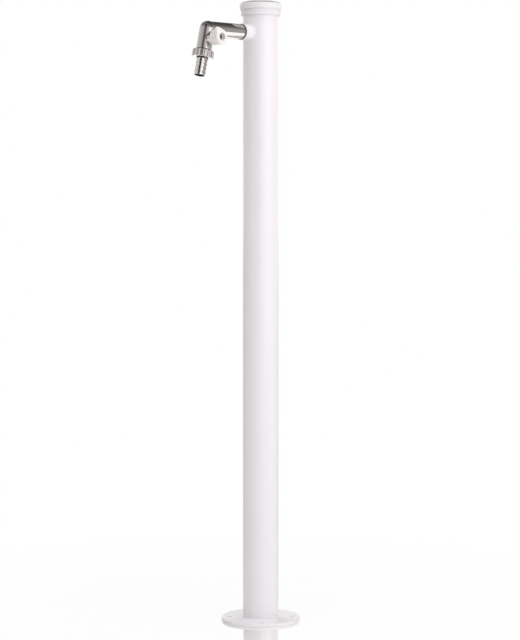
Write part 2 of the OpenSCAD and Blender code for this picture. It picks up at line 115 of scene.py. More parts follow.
class ColumnSizes(bpy.types.PropertyGroup):
    """Sizes of the column tube and of the welded outlet boss."""

    tube_diameter: length("Tube diameter", "Outside of the column tube", 2 * TUBE_HIGH.x)
    tube_wall: length("Tube wall", "Wall of the column tube", 2 * MM)
    boss_diameter: length("Boss diameter", "Outside of the welded outlet boss", 2 * BOSS_HIGH.x)
    boss_thread: length("Boss thread", "Diameter of the thread in the boss", 21.1 * MM)
    boss_thread_length: length("Boss thread length", "Length of each thread in the boss", 11 * MM)
    boss_stop: length("Boss stop", "Waterway between the two threads of the boss", 16 * MM)
    edge_round: length("Edge rounding", "Rounding of cut and turned edges", 0.6 * MM)
    weld_radius: length("Weld radius", "Half the thickness of the weld around the boss", 1.3 * MM)


class FootSizes(bpy.types.PropertyGroup):
    """Sizes of the foot plate and of the supply socket in its middle."""

    plate_diameter: length("Plate diameter", "Outside of the foot plate", 2 * FOOT_HIGH.x)
    plate_thickness: length("Plate thickness", "Thickness of the foot plate", TUBE_LOW.z)
    plate_round: length("Plate rounding", "Rounding of the plate's top edge", 1 * MM)
    hole_circle: length("Hole circle", "Circle that the fixing holes lie on", 108 * MM)
    hole_diameter: length("Hole diameter", "Diameter of a fixing hole", 9 * MM)
    hole_count: bpy.props.IntProperty(name="Holes", description="Number of fixing holes", default=4, min=1)
    hole_turn: angle("Hole turn", "Angle of the first hole from the handle's side", 45)
    hole_bevel: length("Hole bevel", "Bevel around the mouth of a hole", 0.4 * MM)
    weld_leg: length("Weld leg", "Leg of the weld around the tube's foot", 2 * MM)
    socket_diameter: length("Socket diameter", "Outside of the supply socket", 2 * SOCKET_HIGH.x)
    supply_thread_length: length("Supply thread", "Free thread for the supply pipe", 15 * MM)


class CapSizes(bpy.types.PropertyGroup):
    """Sizes of the push-on cap."""

    skirt_wall: length("Skirt wall", "Wall of the skirt", 2.5 * MM)
    skirt_height: length("Skirt height", "Depth of the skirt below the tube's top", TUBE_HIGH.z - CAP_LOW.z)
    bead_rise: length("Bead rise", "How far a bead stands out of the skirt", 0.6 * MM)
    bead_height: length("Bead height", "Height of one bead", 3.6 * MM)
    bead_count: bpy.props.IntProperty(name="Beads", description="Number of beads", default=2, min=1)
    rim_diameter: length("Rim diameter", "Outside of the rim", 2 * CAP_HIGH.x)
    rim_drop: length("Rim drop", "Depth of the rim below the tube's top", 3.4 * MM)
    rim_height: length("Rim height", "Height of the rim above the tube's top", 7 * MM)
    rim_round: length("Rim rounding", "Rounding of the rim's top edge", 3 * MM)
    dome_rise: length("Dome rise", "Rise of the dome above the rim", 6.5 * MM)
    crown_step: length("Crown step", "Upright step between the rim and the dome", 1.1 * MM)
    crown_ledge: length("Crown ledge", "Flat ledge at the foot of that step", 0.7 * MM)
    dome_wall: length("Dome wall", "Wall of the dome", 3 * MM)
    fit: length("Fit", "Gap between the skirt and the tube", 0.15 * MM)


class TapSizes(bpy.types.PropertyGroup):
    """Sizes of the elbow tap's body and gland nut."""

    arm_diameter: length("Arm diameter", "Outside of the arm", 25.4 * MM)
    arm_length: length("Arm length", "From the shoulder to the leg's axis", 75.8 * MM)
    arm_bore: length("Arm bore", "Waterway of the arm", 13 * MM)
    inlet_thread: length("Inlet thread", "Outside of the thread in the boss", 20.9 * MM)
    leg_diameter: length("Leg diameter", "Outside of the leg and its ball-shaped top", 26 * MM)
    leg_length: length("Leg length", "From the arm's axis to the outlet thread", 37 * MM)
    leg_lean: angle("Leg lean", "Lean of the leg, outwards at its lower end", 13.5)
    leg_bore: length("Leg bore", "Waterway above the ball", 11 * MM)
    chamber: length("Ball chamber", "Bore that holds the ball and its seats", 18.6 * MM)
    chamber_top: length("Chamber top", "From the arm's axis to the top of the ball chamber", 7.4 * MM)
    undercut_length: length("Undercut length", "Length of the undercut over the thread", 1.8 * MM)
    undercut_depth: length("Undercut depth", "Depth of that undercut", 1.2 * MM)
    outlet_diameter: length("Outlet diameter", "Outside of the outlet thread", 26.4 * MM)
    outlet_length: length("Outlet length", "Length of the outlet thread", 6.5 * MM)
    thread_pitch: length("Thread pitch", "Pitch of the tap's and the sockets' threads", 1.814 * MM)
    valve_drop: length("Valve drop", "From the arm's axis to the ball's centre", 15.6 * MM)
    stem_boss: length("Stem boss", "Outside of the boss that holds the stem", 16 * MM)
    stem_boss_end: length("Stem boss end", "From the leg's axis to the boss's face", 18.95 * MM)
    stem_bore: length("Stem bore", "Bore for the stem's collar", 10.1 * MM)
    gland_bore: length("Gland bore", "Bore for the gland nut's thread", 12.2 * MM)
    gland_start: length("Gland start", "From the leg's axis to the gland nut's thread", 12.55 * MM)
    gland_flats: length("Gland flats", "Width across the flats of the gland nut", 13 * MM)
    gland_height: length("Gland height", "Height of the gland nut's head", 3 * MM)
    gland_shaft: length("Gland shaft", "Bore of the gland nut", 7.1 * MM)
    cast_round: length("Cast rounding", "Soft blend where the arm, leg and boss meet", 1.6 * MM)
    edge_round: length("Edge rounding", "Rounding of turned edges", 0.5 * MM)
    skin_step: length("Skin step", "Size of the facets in the cast skin", 0.5 * MM)


class HandleSizes(bpy.types.PropertyGroup):
    """Sizes of the handle and its screw."""

    back: length("Back", "From the leg's axis to the handle's back", 21.95 * MM)
    depth: length("Depth", "Depth of the handle along the stem", 16.8 * MM)
    knob_diameter: length("Knob diameter", "Round knob at its back", 26 * MM)
    lug_thickness: length("Lug thickness", "Thickness of the thumb lug at the knob's front", 5 * MM)
    lug_diameter: length("Lug diameter", "Round end of the thumb lug at its back", 12 * MM)
    lug_reach: length("Lug reach", "From the stem's axis to the lug's centre", 12.5 * MM)
    lug_turn: angle("Lug turn", "Angle of the lug from the leg's upper end", 49)
    rim: length("Rim", "Height of the straight rim at the back", 1 * MM)
    draft: length("Draft", "How far each side draws in to the front", 0.9 * MM)
    front_round: length("Front rounding", "Rounding of the front edge", 1.8 * MM)
    back_round: length("Back rounding", "Rounding of the back edge", 0.4 * MM)
    recess_diameter: length("Recess diameter", "Recess in the face", 13 * MM)
    recess_depth: length("Recess depth", "Depth of the recess", 5.2 * MM)
    recess_round: length("Recess rounding", "Rounding of the recess's edges", 0.5 * MM)
    gland_room: length("Gland room", "Room for the gland nut in the back", 16.2 * MM)
    gland_room_depth: length("Gland room depth", "Depth of that room", 1.2 * MM)
    stem_hole: length("Stem hole", "Hole for the stem", 7.3 * MM)
    stem_hole_depth: length("Stem hole depth", "Depth of that hole from the back", 9 * MM)
    screw_hole: length("Screw hole", "Hole for the screw", 3.3 * MM)
    screw_head: length("Screw head", "Diameter of the screw's head", 8.6 * MM)
    screw_edge: length("Screw edge", "Straight edge of the screw's head", 1 * MM)
    screw_dome: length("Screw dome", "Rise of the head's dome", 1.6 * MM)
    screw_diameter: length("Screw diameter", "Diameter of the screw", 3 * MM)
    screw_length: length("Screw length", "Length of the screw below its head", 8.6 * MM)
    slot_width: length("Slot width", "Width of the screw's slot", 1.2 * MM)
    slot_depth: length("Slot depth", "Depth of the screw's slot", 1.1 * MM)


class HoseEndSizes(bpy.types.PropertyGroup):
    """Sizes of the union nut and the barbed hose tail, as distances down the leg."""

    nut_top: length("Nut top", "Top face of the union nut", 37 * MM)
    nut_end: length("Nut end", "Lower face of the union nut", 49.1 * MM)
    nut_diameter: length("Nut diameter", "Outside over the ribs", 35.4 * MM)
    nut_thread: length("Nut thread", "Bore of the nut's thread", 26.6 * MM)
    nut_mouth: length("Nut mouth", "Bore of the nut's lip", 19.8 * MM)
    nut_lip: length("Nut lip", "Thickness of the lip", 2 * MM)
    nut_chamfer: length("Nut chamfer", "Chamfer on the nut's edges", 0.5 * MM)
    rib_count: bpy.props.IntProperty(name="Ribs", description="Ribs around the nut", default=18, min=3)
    groove_width: length("Groove width", "Width of a groove between ribs", 3 * MM)
    groove_depth: length("Groove depth", "Depth of a groove between ribs", 1 * MM)
    collar_top: length("Collar top", "Upper face of the tail's collar", 45.05 * MM)
    collar_thickness: length("Collar thickness", "Thickness of the collar", 2 * MM)
    collar_diameter: length("Collar diameter", "Outside of the collar", 24 * MM)
    tail_end: length("Tail end", "Free end of the tail", 78.15 * MM)
    tail_diameter: length("Tail diameter", "Tail between its barbs", 17.4 * MM)
    tail_bore: length("Tail bore", "Waterway of the tail", 14.2 * MM)
    barb_diameter: length("Barb diameter", "Outside over the barbs", 19.2 * MM)
    barb_land: length("Barb land", "Flat land on top of a barb", 1 * MM)
    barb_pitch: length("Barb pitch", "Length of one barb", 6.9 * MM)
    barb_count: bpy.props.IntProperty(name="Barbs", description="Barbs on the tail", default=4, min=1)
    # Painted shade: a dark band this wide on the tail, just below the union nut
    shade_band_width: length("Seam width", "Stained tail below the union nut", 0.9 * MM)


class FinishColours(bpy.types.PropertyGroup):
    """Colours of the finishes."""

    paint: colour("Paint", "White powder coat", (0.843, 0.81, 0.835))
    cap: colour("Cap", "White moulded cap", (0.815, 0.788, 0.813))
    handle: colour("Handle", "White moulded handle", (0.86, 0.812, 0.806))
    chrome: colour("Chrome", "Bright plate on the tap", (0.637, 0.597, 0.585))
    steel: colour("Steel", "Plated screw", (0.3, 0.3, 0.305))
    zinc: colour("Zinc", "Zinc plate on the supply socket", (0.6, 0.61, 0.62))
    brass: colour("Brass", "Turned brass", (0.7, 0.52, 0.24))
    copper: colour("Copper", "Drawn copper", (0.68, 0.36, 0.22))
    # Painted shade: this dark colour stands for the shade in the tail's bore, on its end face and in the
    # grooves beside the union nut
    stain: colour("Stain", "Dark stain in the tail's bore and beside the nut", (0.03, 0.024, 0.02))
    # Painted shade: this grey colour stands for the shade line at the foot of the cap's crown
    grime: colour("Grime", "Dust at the foot of the cap's crown", (0.3, 0.285, 0.29))
    rubber: colour("Rubber", "Black seals", (0.09, 0.083, 0.078))
    seat: colour("Seat", "White low-friction plastic", (0.88, 0.87, 0.83))


class StageSettings(bpy.types.PropertyGroup):
    """Camera, light and floor."""

    camera_turn: angle("Camera turn", "Camera's turn about the column", 44)
    camera_pitch: angle("Camera pitch", "How far the camera looks down", 3.45)
    camera_distance: length("Camera distance", "From the column's axis to the camera", 3.324)
    camera_height: length("Camera height", "Height of the camera", 0.7115)
    camera_left: length("Camera left", "Shift of the camera to the left", 1.2 * MM)
    lens: number("Lens", "Focal length in mm", 110.81)
    floor_size: length("Floor size", "Width of the floor", 80.0)
    floor: colour("Floor", "White floor", (0.9, 0.9, 0.9))
    floor_mirror: number("Floor mirror", "Share of a mirror in the floor", 0.9)
    floor_grey: number("Floor grey", "Level of the floor at a low angle in the object's gloss", 0.3)
    panels: number("Panels", "Brightness of the studio's white panels in the object's gloss", 1.6)
    fill: number("Fill", "Even light from the world", 0.61)
    key_power: number("Key power", "Key lamp in watts", 37)
    top_power: number("Top power", "Top lamp in watts", 90)


class Link:
    """A node's output that takes part in Python sums. Each sum adds a Math node."""

    def __init__(self, wiring, socket):
        self.wiring = wiring
        self.socket = socket

    def __add__(self, other):
        return self.wiring.math("ADD", self, other)

    def __radd__(self, other):
        return self.wiring.math("ADD", other, self)

    def __sub__(self, other):
        return self.wiring.math("SUBTRACT", self, other)

    def __rsub__(self, other):
        return self.wiring.math("SUBTRACT", other, self)

    def __mul__(self, other):
        return self.wiring.math("MULTIPLY", self, other)

    def __rmul__(self, other):
        return self.wiring.math("MULTIPLY", other, self)

    def __truediv__(self, other):
        return self.wiring.math("DIVIDE", self, other)

    def __rtruediv__(self, other):
        return self.wiring.math("DIVIDE", other, self)


class Wiring:
    """Adds nodes and links to one shader, world or geometry tree."""

    MIX_FACTOR = 0
    MIX_FIRST_COLOUR = 6
    MIX_SECOND_COLOUR = 7
    MIX_COLOUR = 2

    def __init__(self, tree):
        self.tree = tree

    def node(self, kind, settings=None, sockets=None):
        """Add a node. Settings are set first, then each socket gets a value or a link."""
        node = self.tree.nodes.new(kind)
        for name, value in (settings or {}).items():
            if name == "stops":
                self.set_stops(node.color_ramp, value)
            else:
                setattr(node, name, value)
        for name, value in (sockets or {}).items():
            if isinstance(value, Link):
                self.tree.links.new(value.socket, node.inputs[name])
            else:
                node.inputs[name].default_value = value
        return node

    def add(self, kind, output, settings=None, sockets=None):
        """Add a node and give one of its outputs."""
        return Link(self, self.node(kind, settings, sockets).outputs[output])

    def several(self, kind, outputs, sockets=None):
        """Add a node and give some of its outputs."""
        node = self.node(kind, {}, sockets)
        return [Link(self, node.outputs[output]) for output in outputs]

    def math(self, operation, *values):
        """Add a Math node."""
        return self.add("ShaderNodeMath", "Value", {"operation": operation}, dict(enumerate(values)))

    def mix_colour(self, factor, first, second):
        """Mix two colours, plain or linked."""
        sockets = {
            self.MIX_FACTOR: factor,
            self.MIX_FIRST_COLOUR: opaque(first),
            self.MIX_SECOND_COLOUR: opaque(second),
        }
        return self.add("ShaderNodeMix", self.MIX_COLOUR, {"data_type": "RGBA"}, sockets)

    @staticmethod
    def set_stops(ramp, stops):
        """Set a colour ramp's stops from pairs of a place and a grey level."""
        for index, (place, level) in enumerate(stops):
            stop = ramp.elements[index] if index < len(ramp.elements) else ramp.elements.new(place)
            stop.position = place
            stop.color = (level, level, level, 1.0)


def opaque(value):
    """Give a plain colour its alpha, and leave a link as it is."""
    if isinstance(value, Link):
        return value
    return (value[0], value[1], value[2], 1.0)


def shade(value, factor):
    """A colour that is lighter or darker by a factor."""
    return tuple(channel * factor for channel in value)


# Finishes

def clear_wiring(holder):
    """Clear the tree of a material or a world and give its wiring."""
    holder.use_nodes = True
    holder.node_tree.nodes.clear()
    return Wiring(holder.node_tree)


def close_surface(wiring, sockets):
    """End a material in one Principled shader."""
    shader = wiring.add("ShaderNodeBsdfPrincipled", "BSDF", {}, sockets)
    wiring.node("ShaderNodeOutputMaterial", {}, {"Surface": shader})


def noise(wiring, place, scale, detail):
    """Soft noise between 0 and 1."""
    return wiring.add(
        "ShaderNodeTexNoise", "Fac", {}, {"Vector": place, "Scale": scale, "Detail": detail}
    )


def ramp(wiring, factor, stops):
    """A level that follows stops of a place and a grey level."""
    return wiring.add("ShaderNodeValToRGB", "Color", {"stops": stops}, {"Fac": factor})


def bump(wiring, height, strength, distance):
    """A normal from a height."""
    return wiring.add(
        "ShaderNodeBump", "Normal", {}, {"Height": height, "Strength": strength, "Distance": distance}
    )


def drift(wiring, factor, tone, dark, light):
    """A tone that drifts between a darker and a lighter one, both given as factors of it."""
    return wiring.mix_colour(factor, shade(tone, dark), shade(tone, light))


def powder_coat(wiring, place, tone, roughness):
    """Satin white powder coat: a fine orange-peel skin with faint clouds in tone and gloss."""
    cloud = noise(wiring, place, scale=9.0, detail=3.0)
    peel = noise(wiring, place, scale=520.0, detail=2.0)
    grain = noise(wiring, place, scale=1900.0, detail=1.0)
    skin = 0.8 * peel + 0.2 * grain
    close_surface(wiring, {
        "Base Color": drift(wiring, cloud, tone, dark=0.985, light=1.015),
        "Roughness": roughness + 0.1 * cloud + 0.05 * grain,
        "Normal": bump(wiring, skin, strength=0.16, distance=0.0004),
        "Specular IOR Level": SATIN_SHINE,
        "Coat Weight": 0.45,
        "Coat Roughness": 0.07,
    })


def moulded_plastic(wiring, place, tone, roughness):
    """Moulded plastic: a smooth skin with faint flow clouds and a fine mould grain."""
    flow = noise(wiring, place, scale=55.0, detail=4.0)
    grain = noise(wiring, place, scale=2600.0, detail=2.0)
    close_surface(wiring, {
        "Base Color": drift(wiring, flow, tone, dark=0.975, light=1.02),
        "Roughness": roughness + 0.08 * flow,
        "Normal": bump(wiring, grain, strength=0.08, distance=0.0002),
        "Specular IOR Level": SATIN_SHINE,
    })


def plated(wiring, place, tone, roughness):
    """Bright plate over polished metal: soft waves, faint smears and a few fine specks."""
    wave = noise(wiring, place, scale=85.0, detail=1.0)
    smear = noise(wiring, place, scale=160.0, detail=4.0)
    speck = noise(wiring, place, scale=1500.0, detail=2.0)
    specks = ramp(wiring, speck, [(0.68, 0.0), (0.76, 1.0)])
    close_surface(wiring, {
        "Base Color": drift(wiring, smear, tone, dark=0.94, light=1.05),
        "Metallic": 1.0,
        "Roughness": roughness + 0.06 * smear + 0.05 * specks,
        "Normal": bump(wiring, wave, strength=0.03, distance=0.0006),
    })


def turned_metal(wiring, place, tone, roughness):
    """Machined metal: fine tool marks, stains and a satin gloss."""
    marks = wiring.add(
        "ShaderNodeTexWave",
        "Fac",
        {"wave_type": "BANDS", "bands_direction": "Z"},
        {"Vector": place, "Scale": 900.0, "Distortion": 1.5, "Detail": 2.0},
    )
    stain = noise(wiring, place, scale=120.0, detail=4.0)
    close_surface(wiring, {
        "Base Color": drift(wiring, stain, tone, dark=0.86, light=1.08),
        "Metallic": 1.0,
        "Roughness": roughness + 0.14 * stain,
        "Normal": bump(wiring, marks, strength=0.1, distance=0.0002),
    })


def moulded_rubber(wiring, place, tone, roughness):
    """Moulded rubber with a dull bloom."""
    bloom = noise(wiring, place, scale=240.0, detail=3.0)
    grain = noise(wiring, place, scale=2200.0, detail=2.0)
    close_surface(wiring, {
        "Base Color": drift(wiring, bloom, tone, dark=0.7, light=1.7),
        "Roughness": roughness + 0.2 * bloom,
        "Normal": bump(wiring, grain, strength=0.2, distance=0.0002),
    })


def dull_painted_shade(wiring, place, tone, roughness):
    """Painted shade: a dull dark tone in patches, laid where there is only shade."""
    patches = noise(wiring, place, scale=420.0, detail=4.0)
    close_surface(wiring, {
        "Base Color": drift(wiring, patches, tone, dark=0.5, light=1.9),
        "Roughness": roughness + 0.2 * patches,
        "Specular IOR Level": 0.15,
    })


def grey_painted_shade(wiring, place, tone, roughness):
    """Painted shade: a grey tone in patches at the foot of the cap's crown, where a shade line falls."""
    patches = noise(wiring, place, scale=90.0, detail=4.0)
    close_surface(wiring, {
        "Base Color": drift(wiring, patches, tone, dark=0.6, light=1.4),
        "Roughness": roughness + 0.15 * patches,
    })


# A finish's maker, the slot that it belongs to, the setting of its colour and its lowest roughness
Finish = collections.namedtuple("Finish", "maker slot setting roughness")

FINISHES = {
    "powder_coat": Finish(powder_coat, "white_paint", "paint", 0.27),
    "cap_plastic": Finish(moulded_plastic, "cap_plastic", "cap", 0.3),
    "handle_plastic": Finish(moulded_plastic, "handle_plastic", "handle", 0.2),
    "seat_plastic": Finish(moulded_plastic, "seat_plastic", "seat", 0.45),
    "chrome_plate": Finish(plated, "chrome_plate", "chrome", 0.04),
    "ribbed_chrome": Finish(plated, "chrome_plate", "chrome", 0.21),
    "screw_steel": Finish(turned_metal, "screw_steel", "steel", 0.12),
    "zinc_plate": Finish(turned_metal, "zinc_steel", "zinc", 0.3),
    "bare_brass": Finish(turned_metal, "bare_brass", "brass", 0.2),
    "drawn_copper": Finish(turned_metal, "copper", "copper", 0.22),
    "black_rubber": Finish(moulded_rubber, "black_rubber", "rubber", 0.5),
    # The last two finishes are painted shade, laid on a few faces of other pieces
    "dark_stain": Finish(dull_painted_shade, None, "stain", 0.75),
    "groove_grime": Finish(grey_painted_shade, None, "grime", 0.8),
}


def finish(name):
    """Give a finish's material, made the first time it is asked for.

    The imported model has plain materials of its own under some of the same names, so the title differs.
    """
    title = name + "_finish"
    material = bpy.data.materials.get(title)
    if material is None:
        chosen = FINISHES[name]
        material = bpy.data.materials.new(title)
        wiring = clear_wiring(material)
        place = wiring.add("ShaderNodeTexCoord", "Object")
        tone = getattr(bpy.context.scene.standpipe_colours, chosen.setting)
        chosen.maker(wiring, place, tone, chosen.roughness)
    return material


# Outlines and meshes

def rounded(corners):
    """Turn corners (x, y, rounding) of a closed outline into points, with an arc at each rounding."""
    points = []
    for index, (x, y, radius) in enumerate(corners):
        corner = Vector((x, y))
        if radius == 0:
            points.append(corner)
            continue
        before = (Vector(corners[index - 1][:2]) - corner).normalized()
        after = (Vector(corners[(index + 1) % len(corners)][:2]) - corner).normalized()
        half = before.angle(after) / 2
        centre = corner + (before + after).normalized() * radius / math.sin(half)
        first = corner + before * radius / math.tan(half) - centre
        last = corner + after * radius / math.tan(half) - centre
        points.extend(arc(centre, radius, heading(first), turn_between(first, last)))
    return points


def heading(vector):
    """Angle of a flat vector from the x axis."""
    return math.atan2(vector[1], vector[0])


def turn_between(first, last):
    """The shorter turn from one flat vector to another."""
    return (heading(last) - heading(first) + math.pi) % FULL_TURN - math.pi


def arc(centre, radius, start, sweep, steps=ROUND_STEPS):
    """Points along an arc, both ends included."""
    points = []
    for step in range(steps + 1):
        turn = start + sweep * step / steps
        points.append(Vector((centre[0] + radius * math.cos(turn), centre[1] + radius * math.sin(turn))))
    return points


def arc_radius(chord, rise):
    """Radius of the arc that spans a chord and rises above its middle."""
    return (chord * chord / 4 + rise * rise) / (2 * rise)


def ring_of(points_2d, height):
    """Points of a flat loop, lifted to a height."""
    return [Vector((x, y, height)) for x, y in points_2d]


def loft(name, rings, place):
    """Skin closed rings of equal count one after another, and the last to the first."""
    count = len(rings[0])
    points = [place @ point for ring in rings for point in ring]
    faces = []
    for row in range(len(rings)):
        next_row = (row + 1) % len(rings)
        for column in range(count):
            next_column = (column + 1) % count
            faces.append((
                row * count + column,
                row * count + next_column,
                next_row * count + next_column,
                next_row * count + column,
            ))
    return closed_piece(name, points, faces)


def turned(name, outline, place, segments):
    """Turn a closed outline of (radius, height) points about the local Z axis."""
    points = []
    rings = []
    for radius, height in map(Vector, outline):
        first = len(points)
        if radius < AXIS_RADIUS:
            points.append(place @ Vector((0, 0, height)))
            rings.append([first] * segments)
            continue
        for step in range(segments):
            turn = FULL_TURN * step / segments
            points.append(place @ Vector((radius * math.cos(turn), radius * math.sin(turn), height)))
        rings.append(list(range(first, first + segments)))
    faces = []
    for row, ring in enumerate(rings):
        above = rings[(row + 1) % len(rings)]
        for step in range(segments):
            after = (step + 1) % segments
            corners = [ring[step], ring[after], above[after], above[step]]
            face = list(dict.fromkeys(corners))
            if len(face) > 2:
                faces.append(face)
    return closed_piece(name, points, faces)


def mesh_of(name, shell):
    """Turn a shell into a mesh."""
    mesh = bpy.data.meshes.new(name)
    shell.to_mesh(mesh)
    shell.free()
    return mesh


def closed_piece(name, points, faces):
    """Put a closed shape into the scene, with its faces pointing outwards."""
    shell = bmesh.new()
    corners = [shell.verts.new(point) for point in points]
    for face in faces:
        shell.faces.new([corners[index] for index in face])
    bmesh.ops.remove_doubles(shell, verts=shell.verts, dist=MERGE_DISTANCE)
    bmesh.ops.recalc_face_normals(shell, faces=shell.faces)
    return object_for(name, mesh_of(name, shell))


def object_for(name, data):
    """Put a mesh, a lamp or a camera into the scene."""
    holder = bpy.data.objects.new(name, data)
    bpy.context.scene.collection.objects.link(holder)
    return holder


def plain_mesh(piece):
    """Give a piece the mesh that its modifiers make, and remove them."""
    graph = bpy.context.evaluated_depsgraph_get()
    mesh = bpy.data.meshes.new_from_object(piece.evaluated_get(graph))
    mesh.name = piece.name
    piece.modifiers.clear()
    piece.data = mesh
    return mesh


def cut(piece, cutter):
    """Cut a closed shape out of a piece, and remove the cutter."""
    modifier = piece.modifiers.new(cutter.name, "BOOLEAN")
    modifier.operation = "DIFFERENCE"
    modifier.solver = "EXACT"
    modifier.object = cutter
    plain_mesh(piece)
    bpy.data.objects.remove(cutter)


def settle(piece, finish_name, body, *nodes):
    """Give a finished piece its material and slot, its body and the nodes it stands for."""
    piece.data.materials.clear()
    piece.data.materials.append(finish(finish_name))
    for face in piece.data.polygons:
        face.material_index = 0
    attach(piece, body)
    if nodes:
        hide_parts(*nodes)


def smooth(piece, finish_name, body, *nodes):
    """Smooth a piece, with its turned edges kept sharp, and settle it."""
    piece.data.shade_smooth()
    piece.data.set_sharp_from_angle(angle=SHARP_ANGLE)
    settle(piece, finish_name, body, *nodes)


def add_finish(piece, place, finish_name, picked):
    """Give a second finish to the faces that a rule picks by their radius and height in a local frame."""
    piece.data.materials.append(finish(finish_name))
    to_local = place.inverted()
    for face in piece.data.polygons:
        centre = to_local @ face.center
        if picked(centre.xy.length, centre.z):
            face.material_index = 1


# Local frames along the tap

def arm_place(distance):
    """Local +Z points along the arm, away from the column."""
    return Matrix.Translation((0, -distance, TAP_HEIGHT)) @ Matrix.Rotation(QUARTER_TURN, 4, "X")


def leg_place(tap, distance):
    """Local +Z points down the leg, from a distance below the arm's axis."""
    corner = Matrix.Translation((0, -(SHOULDER + tap.arm_length), TAP_HEIGHT))
    lean = Matrix.Rotation(math.pi - tap.leg_lean, 4, "X")
    return corner @ lean @ Matrix.Translation((0, 0, distance))


def stem_place(tap, distance):
    """Local +Z points to the handle and local X down the leg."""
    to_handle = Matrix(((0, 0, 1, 0), (0, -1, 0, 0), (1, 0, 0, 0), (0, 0, 0, 1)))
    return leg_place(tap, tap.valve_drop) @ to_handle @ Matrix.Translation((0, 0, distance))


# Geometry Nodes

FLOAT = "NodeSocketFloat"
INTEGER = "NodeSocketInt"
OBJECT = "NodeSocketObject"
GEOMETRY = "NodeSocketGeometry"


def new_tree(name, inputs):
    """Start a geometry tree with a geometry in and out and named inputs of given kinds."""
    tree = bpy.data.node_groups.new(name, "GeometryNodeTree")
    for input_name, kind in {"Geometry": GEOMETRY, **inputs}.items():
        tree.interface.new_socket(input_name, in_out="INPUT", socket_type=kind)
    tree.interface.new_socket("Geometry", in_out="OUTPUT", socket_type=GEOMETRY)
    wiring = Wiring(tree)
    entry = wiring.node("NodeGroupInput")
    links = {socket.name: Link(wiring, socket) for socket in entry.outputs if socket.name}
    return wiring, links


def close_tree(wiring, geometry, material):
    """End a geometry tree: real meshes, one finish."""
    real = wiring.add("GeometryNodeRealizeInstances", "Geometry", {}, {"Geometry": geometry})
    painted = wiring.add("GeometryNodeSetMaterial", "Geometry", {}, {
        "Geometry": real,
        "Material": material,
    })
    wiring.node("NodeGroupOutput", {}, {"Geometry": painted})
    return wiring.tree


def run_tree(piece, tree, values):
    """Run a geometry tree on a piece, with its inputs set by identifier, and keep the plain mesh."""
    modifier = piece.modifiers.new(tree.name, "NODES")
    modifier.node_group = tree
    for item in tree.interface.items_tree:
        if item.in_out == "INPUT" and item.name in values:
            modifier[item.identifier] = values[item.name]
    plain_mesh(piece)


def position(wiring):
    """The x, y and z of each point."""
    place = wiring.add("GeometryNodeInputPosition", "Position")
    return wiring.several("ShaderNodeSeparateXYZ", "XYZ", {"Vector": place})


def vector_of(wiring, **parts):
    """A vector from its X, Y and Z."""
    return wiring.add("ShaderNodeCombineXYZ", "Vector", {}, parts)


def moved_to(wiring, geometry, place):
    """A geometry with its points moved to a place."""
    return wiring.add("GeometryNodeSetPosition", "Geometry", {}, {"Geometry": geometry, "Position": place})


def copies(wiring, points, model):
    """Real copies of an object, one on each point."""
    shape = wiring.add("GeometryNodeObjectInfo", "Geometry", {}, {"Object": model})
    standing = wiring.add("GeometryNodeInstanceOnPoints", "Instances", {}, {
        "Points": points,
        "Instance": shape,
    })
    return wiring.add("GeometryNodeRealizeInstances", "Geometry", {}, {"Geometry": standing})


def round_curve(wiring, radius, points):
    """A circle as a curve with a number of points."""
    return wiring.add("GeometryNodeCurvePrimitiveCircle", "Curve", {"mode": "RADIUS"}, {
        "Resolution": points,
        "Radius": radius,
    })


def rib_tree(material):
    """Grooves around a turned nut: each point draws in to the groove's arc at its angle."""
    wiring, size = new_tree("ribbed_grip", {
        "Outside": FLOAT, "Ribs": INTEGER, "Groove Depth": FLOAT, "Groove Arc": FLOAT,
    })
    softness = 0.15 * MM
    x, y, z = position(wiring)
    turn = wiring.math("ARCTAN2", y, x)
    radius = wiring.math("SQRT", x * x + y * y)
    step = FULL_TURN / size["Ribs"]
    off_groove = wiring.math("ABSOLUTE", wiring.math("WRAP", turn, step / 2, step / -2))
    centre = size["Outside"] - size["Groove Depth"] + size["Groove Arc"]
    sideways = centre * wiring.math("SINE", off_groove)
    inside = wiring.math("MAXIMUM", size["Groove Arc"] * size["Groove Arc"] - sideways * sideways, 0.0)
    groove = centre * wiring.math("COSINE", off_groove) - wiring.math("SQRT", inside)
    in_reach = wiring.math("LESS_THAN", sideways, size["Groove Arc"])
    limit = in_reach * groove + (1 - in_reach) * size["Outside"]
    drawn = wiring.math("SMOOTH_MIN", radius, limit, softness)
    place = vector_of(wiring, X=x * drawn / radius, Y=y * drawn / radius, Z=z)
    return close_tree(wiring, moved_to(wiring, size["Geometry"], place), material)


def barb_tree(material):
    """Barbs repeated down a tail: one barb ring stands at each pitch and is joined to the tail."""
    wiring, size = new_tree("barbs_along_tail", {
        "Barb": OBJECT, "Barbs": INTEGER, "First": FLOAT, "Pitch": FLOAT,
    })
    line = wiring.add("GeometryNodeMeshLine", "Mesh", {}, {
        "Count": size["Barbs"],
        "Start Location": vector_of(wiring, Z=size["First"]),
        "Offset": vector_of(wiring, Z=size["Pitch"]),
    })
    barbs = copies(wiring, line, size["Barb"])
    union = wiring.node("GeometryNodeMeshBoolean", {"operation": "UNION", "solver": "EXACT"})
    for part in (size["Geometry"], barbs):
        wiring.tree.links.new(part.socket, union.inputs["Mesh 2"])
    return close_tree(wiring, Link(wiring, union.outputs["Mesh"]), material)


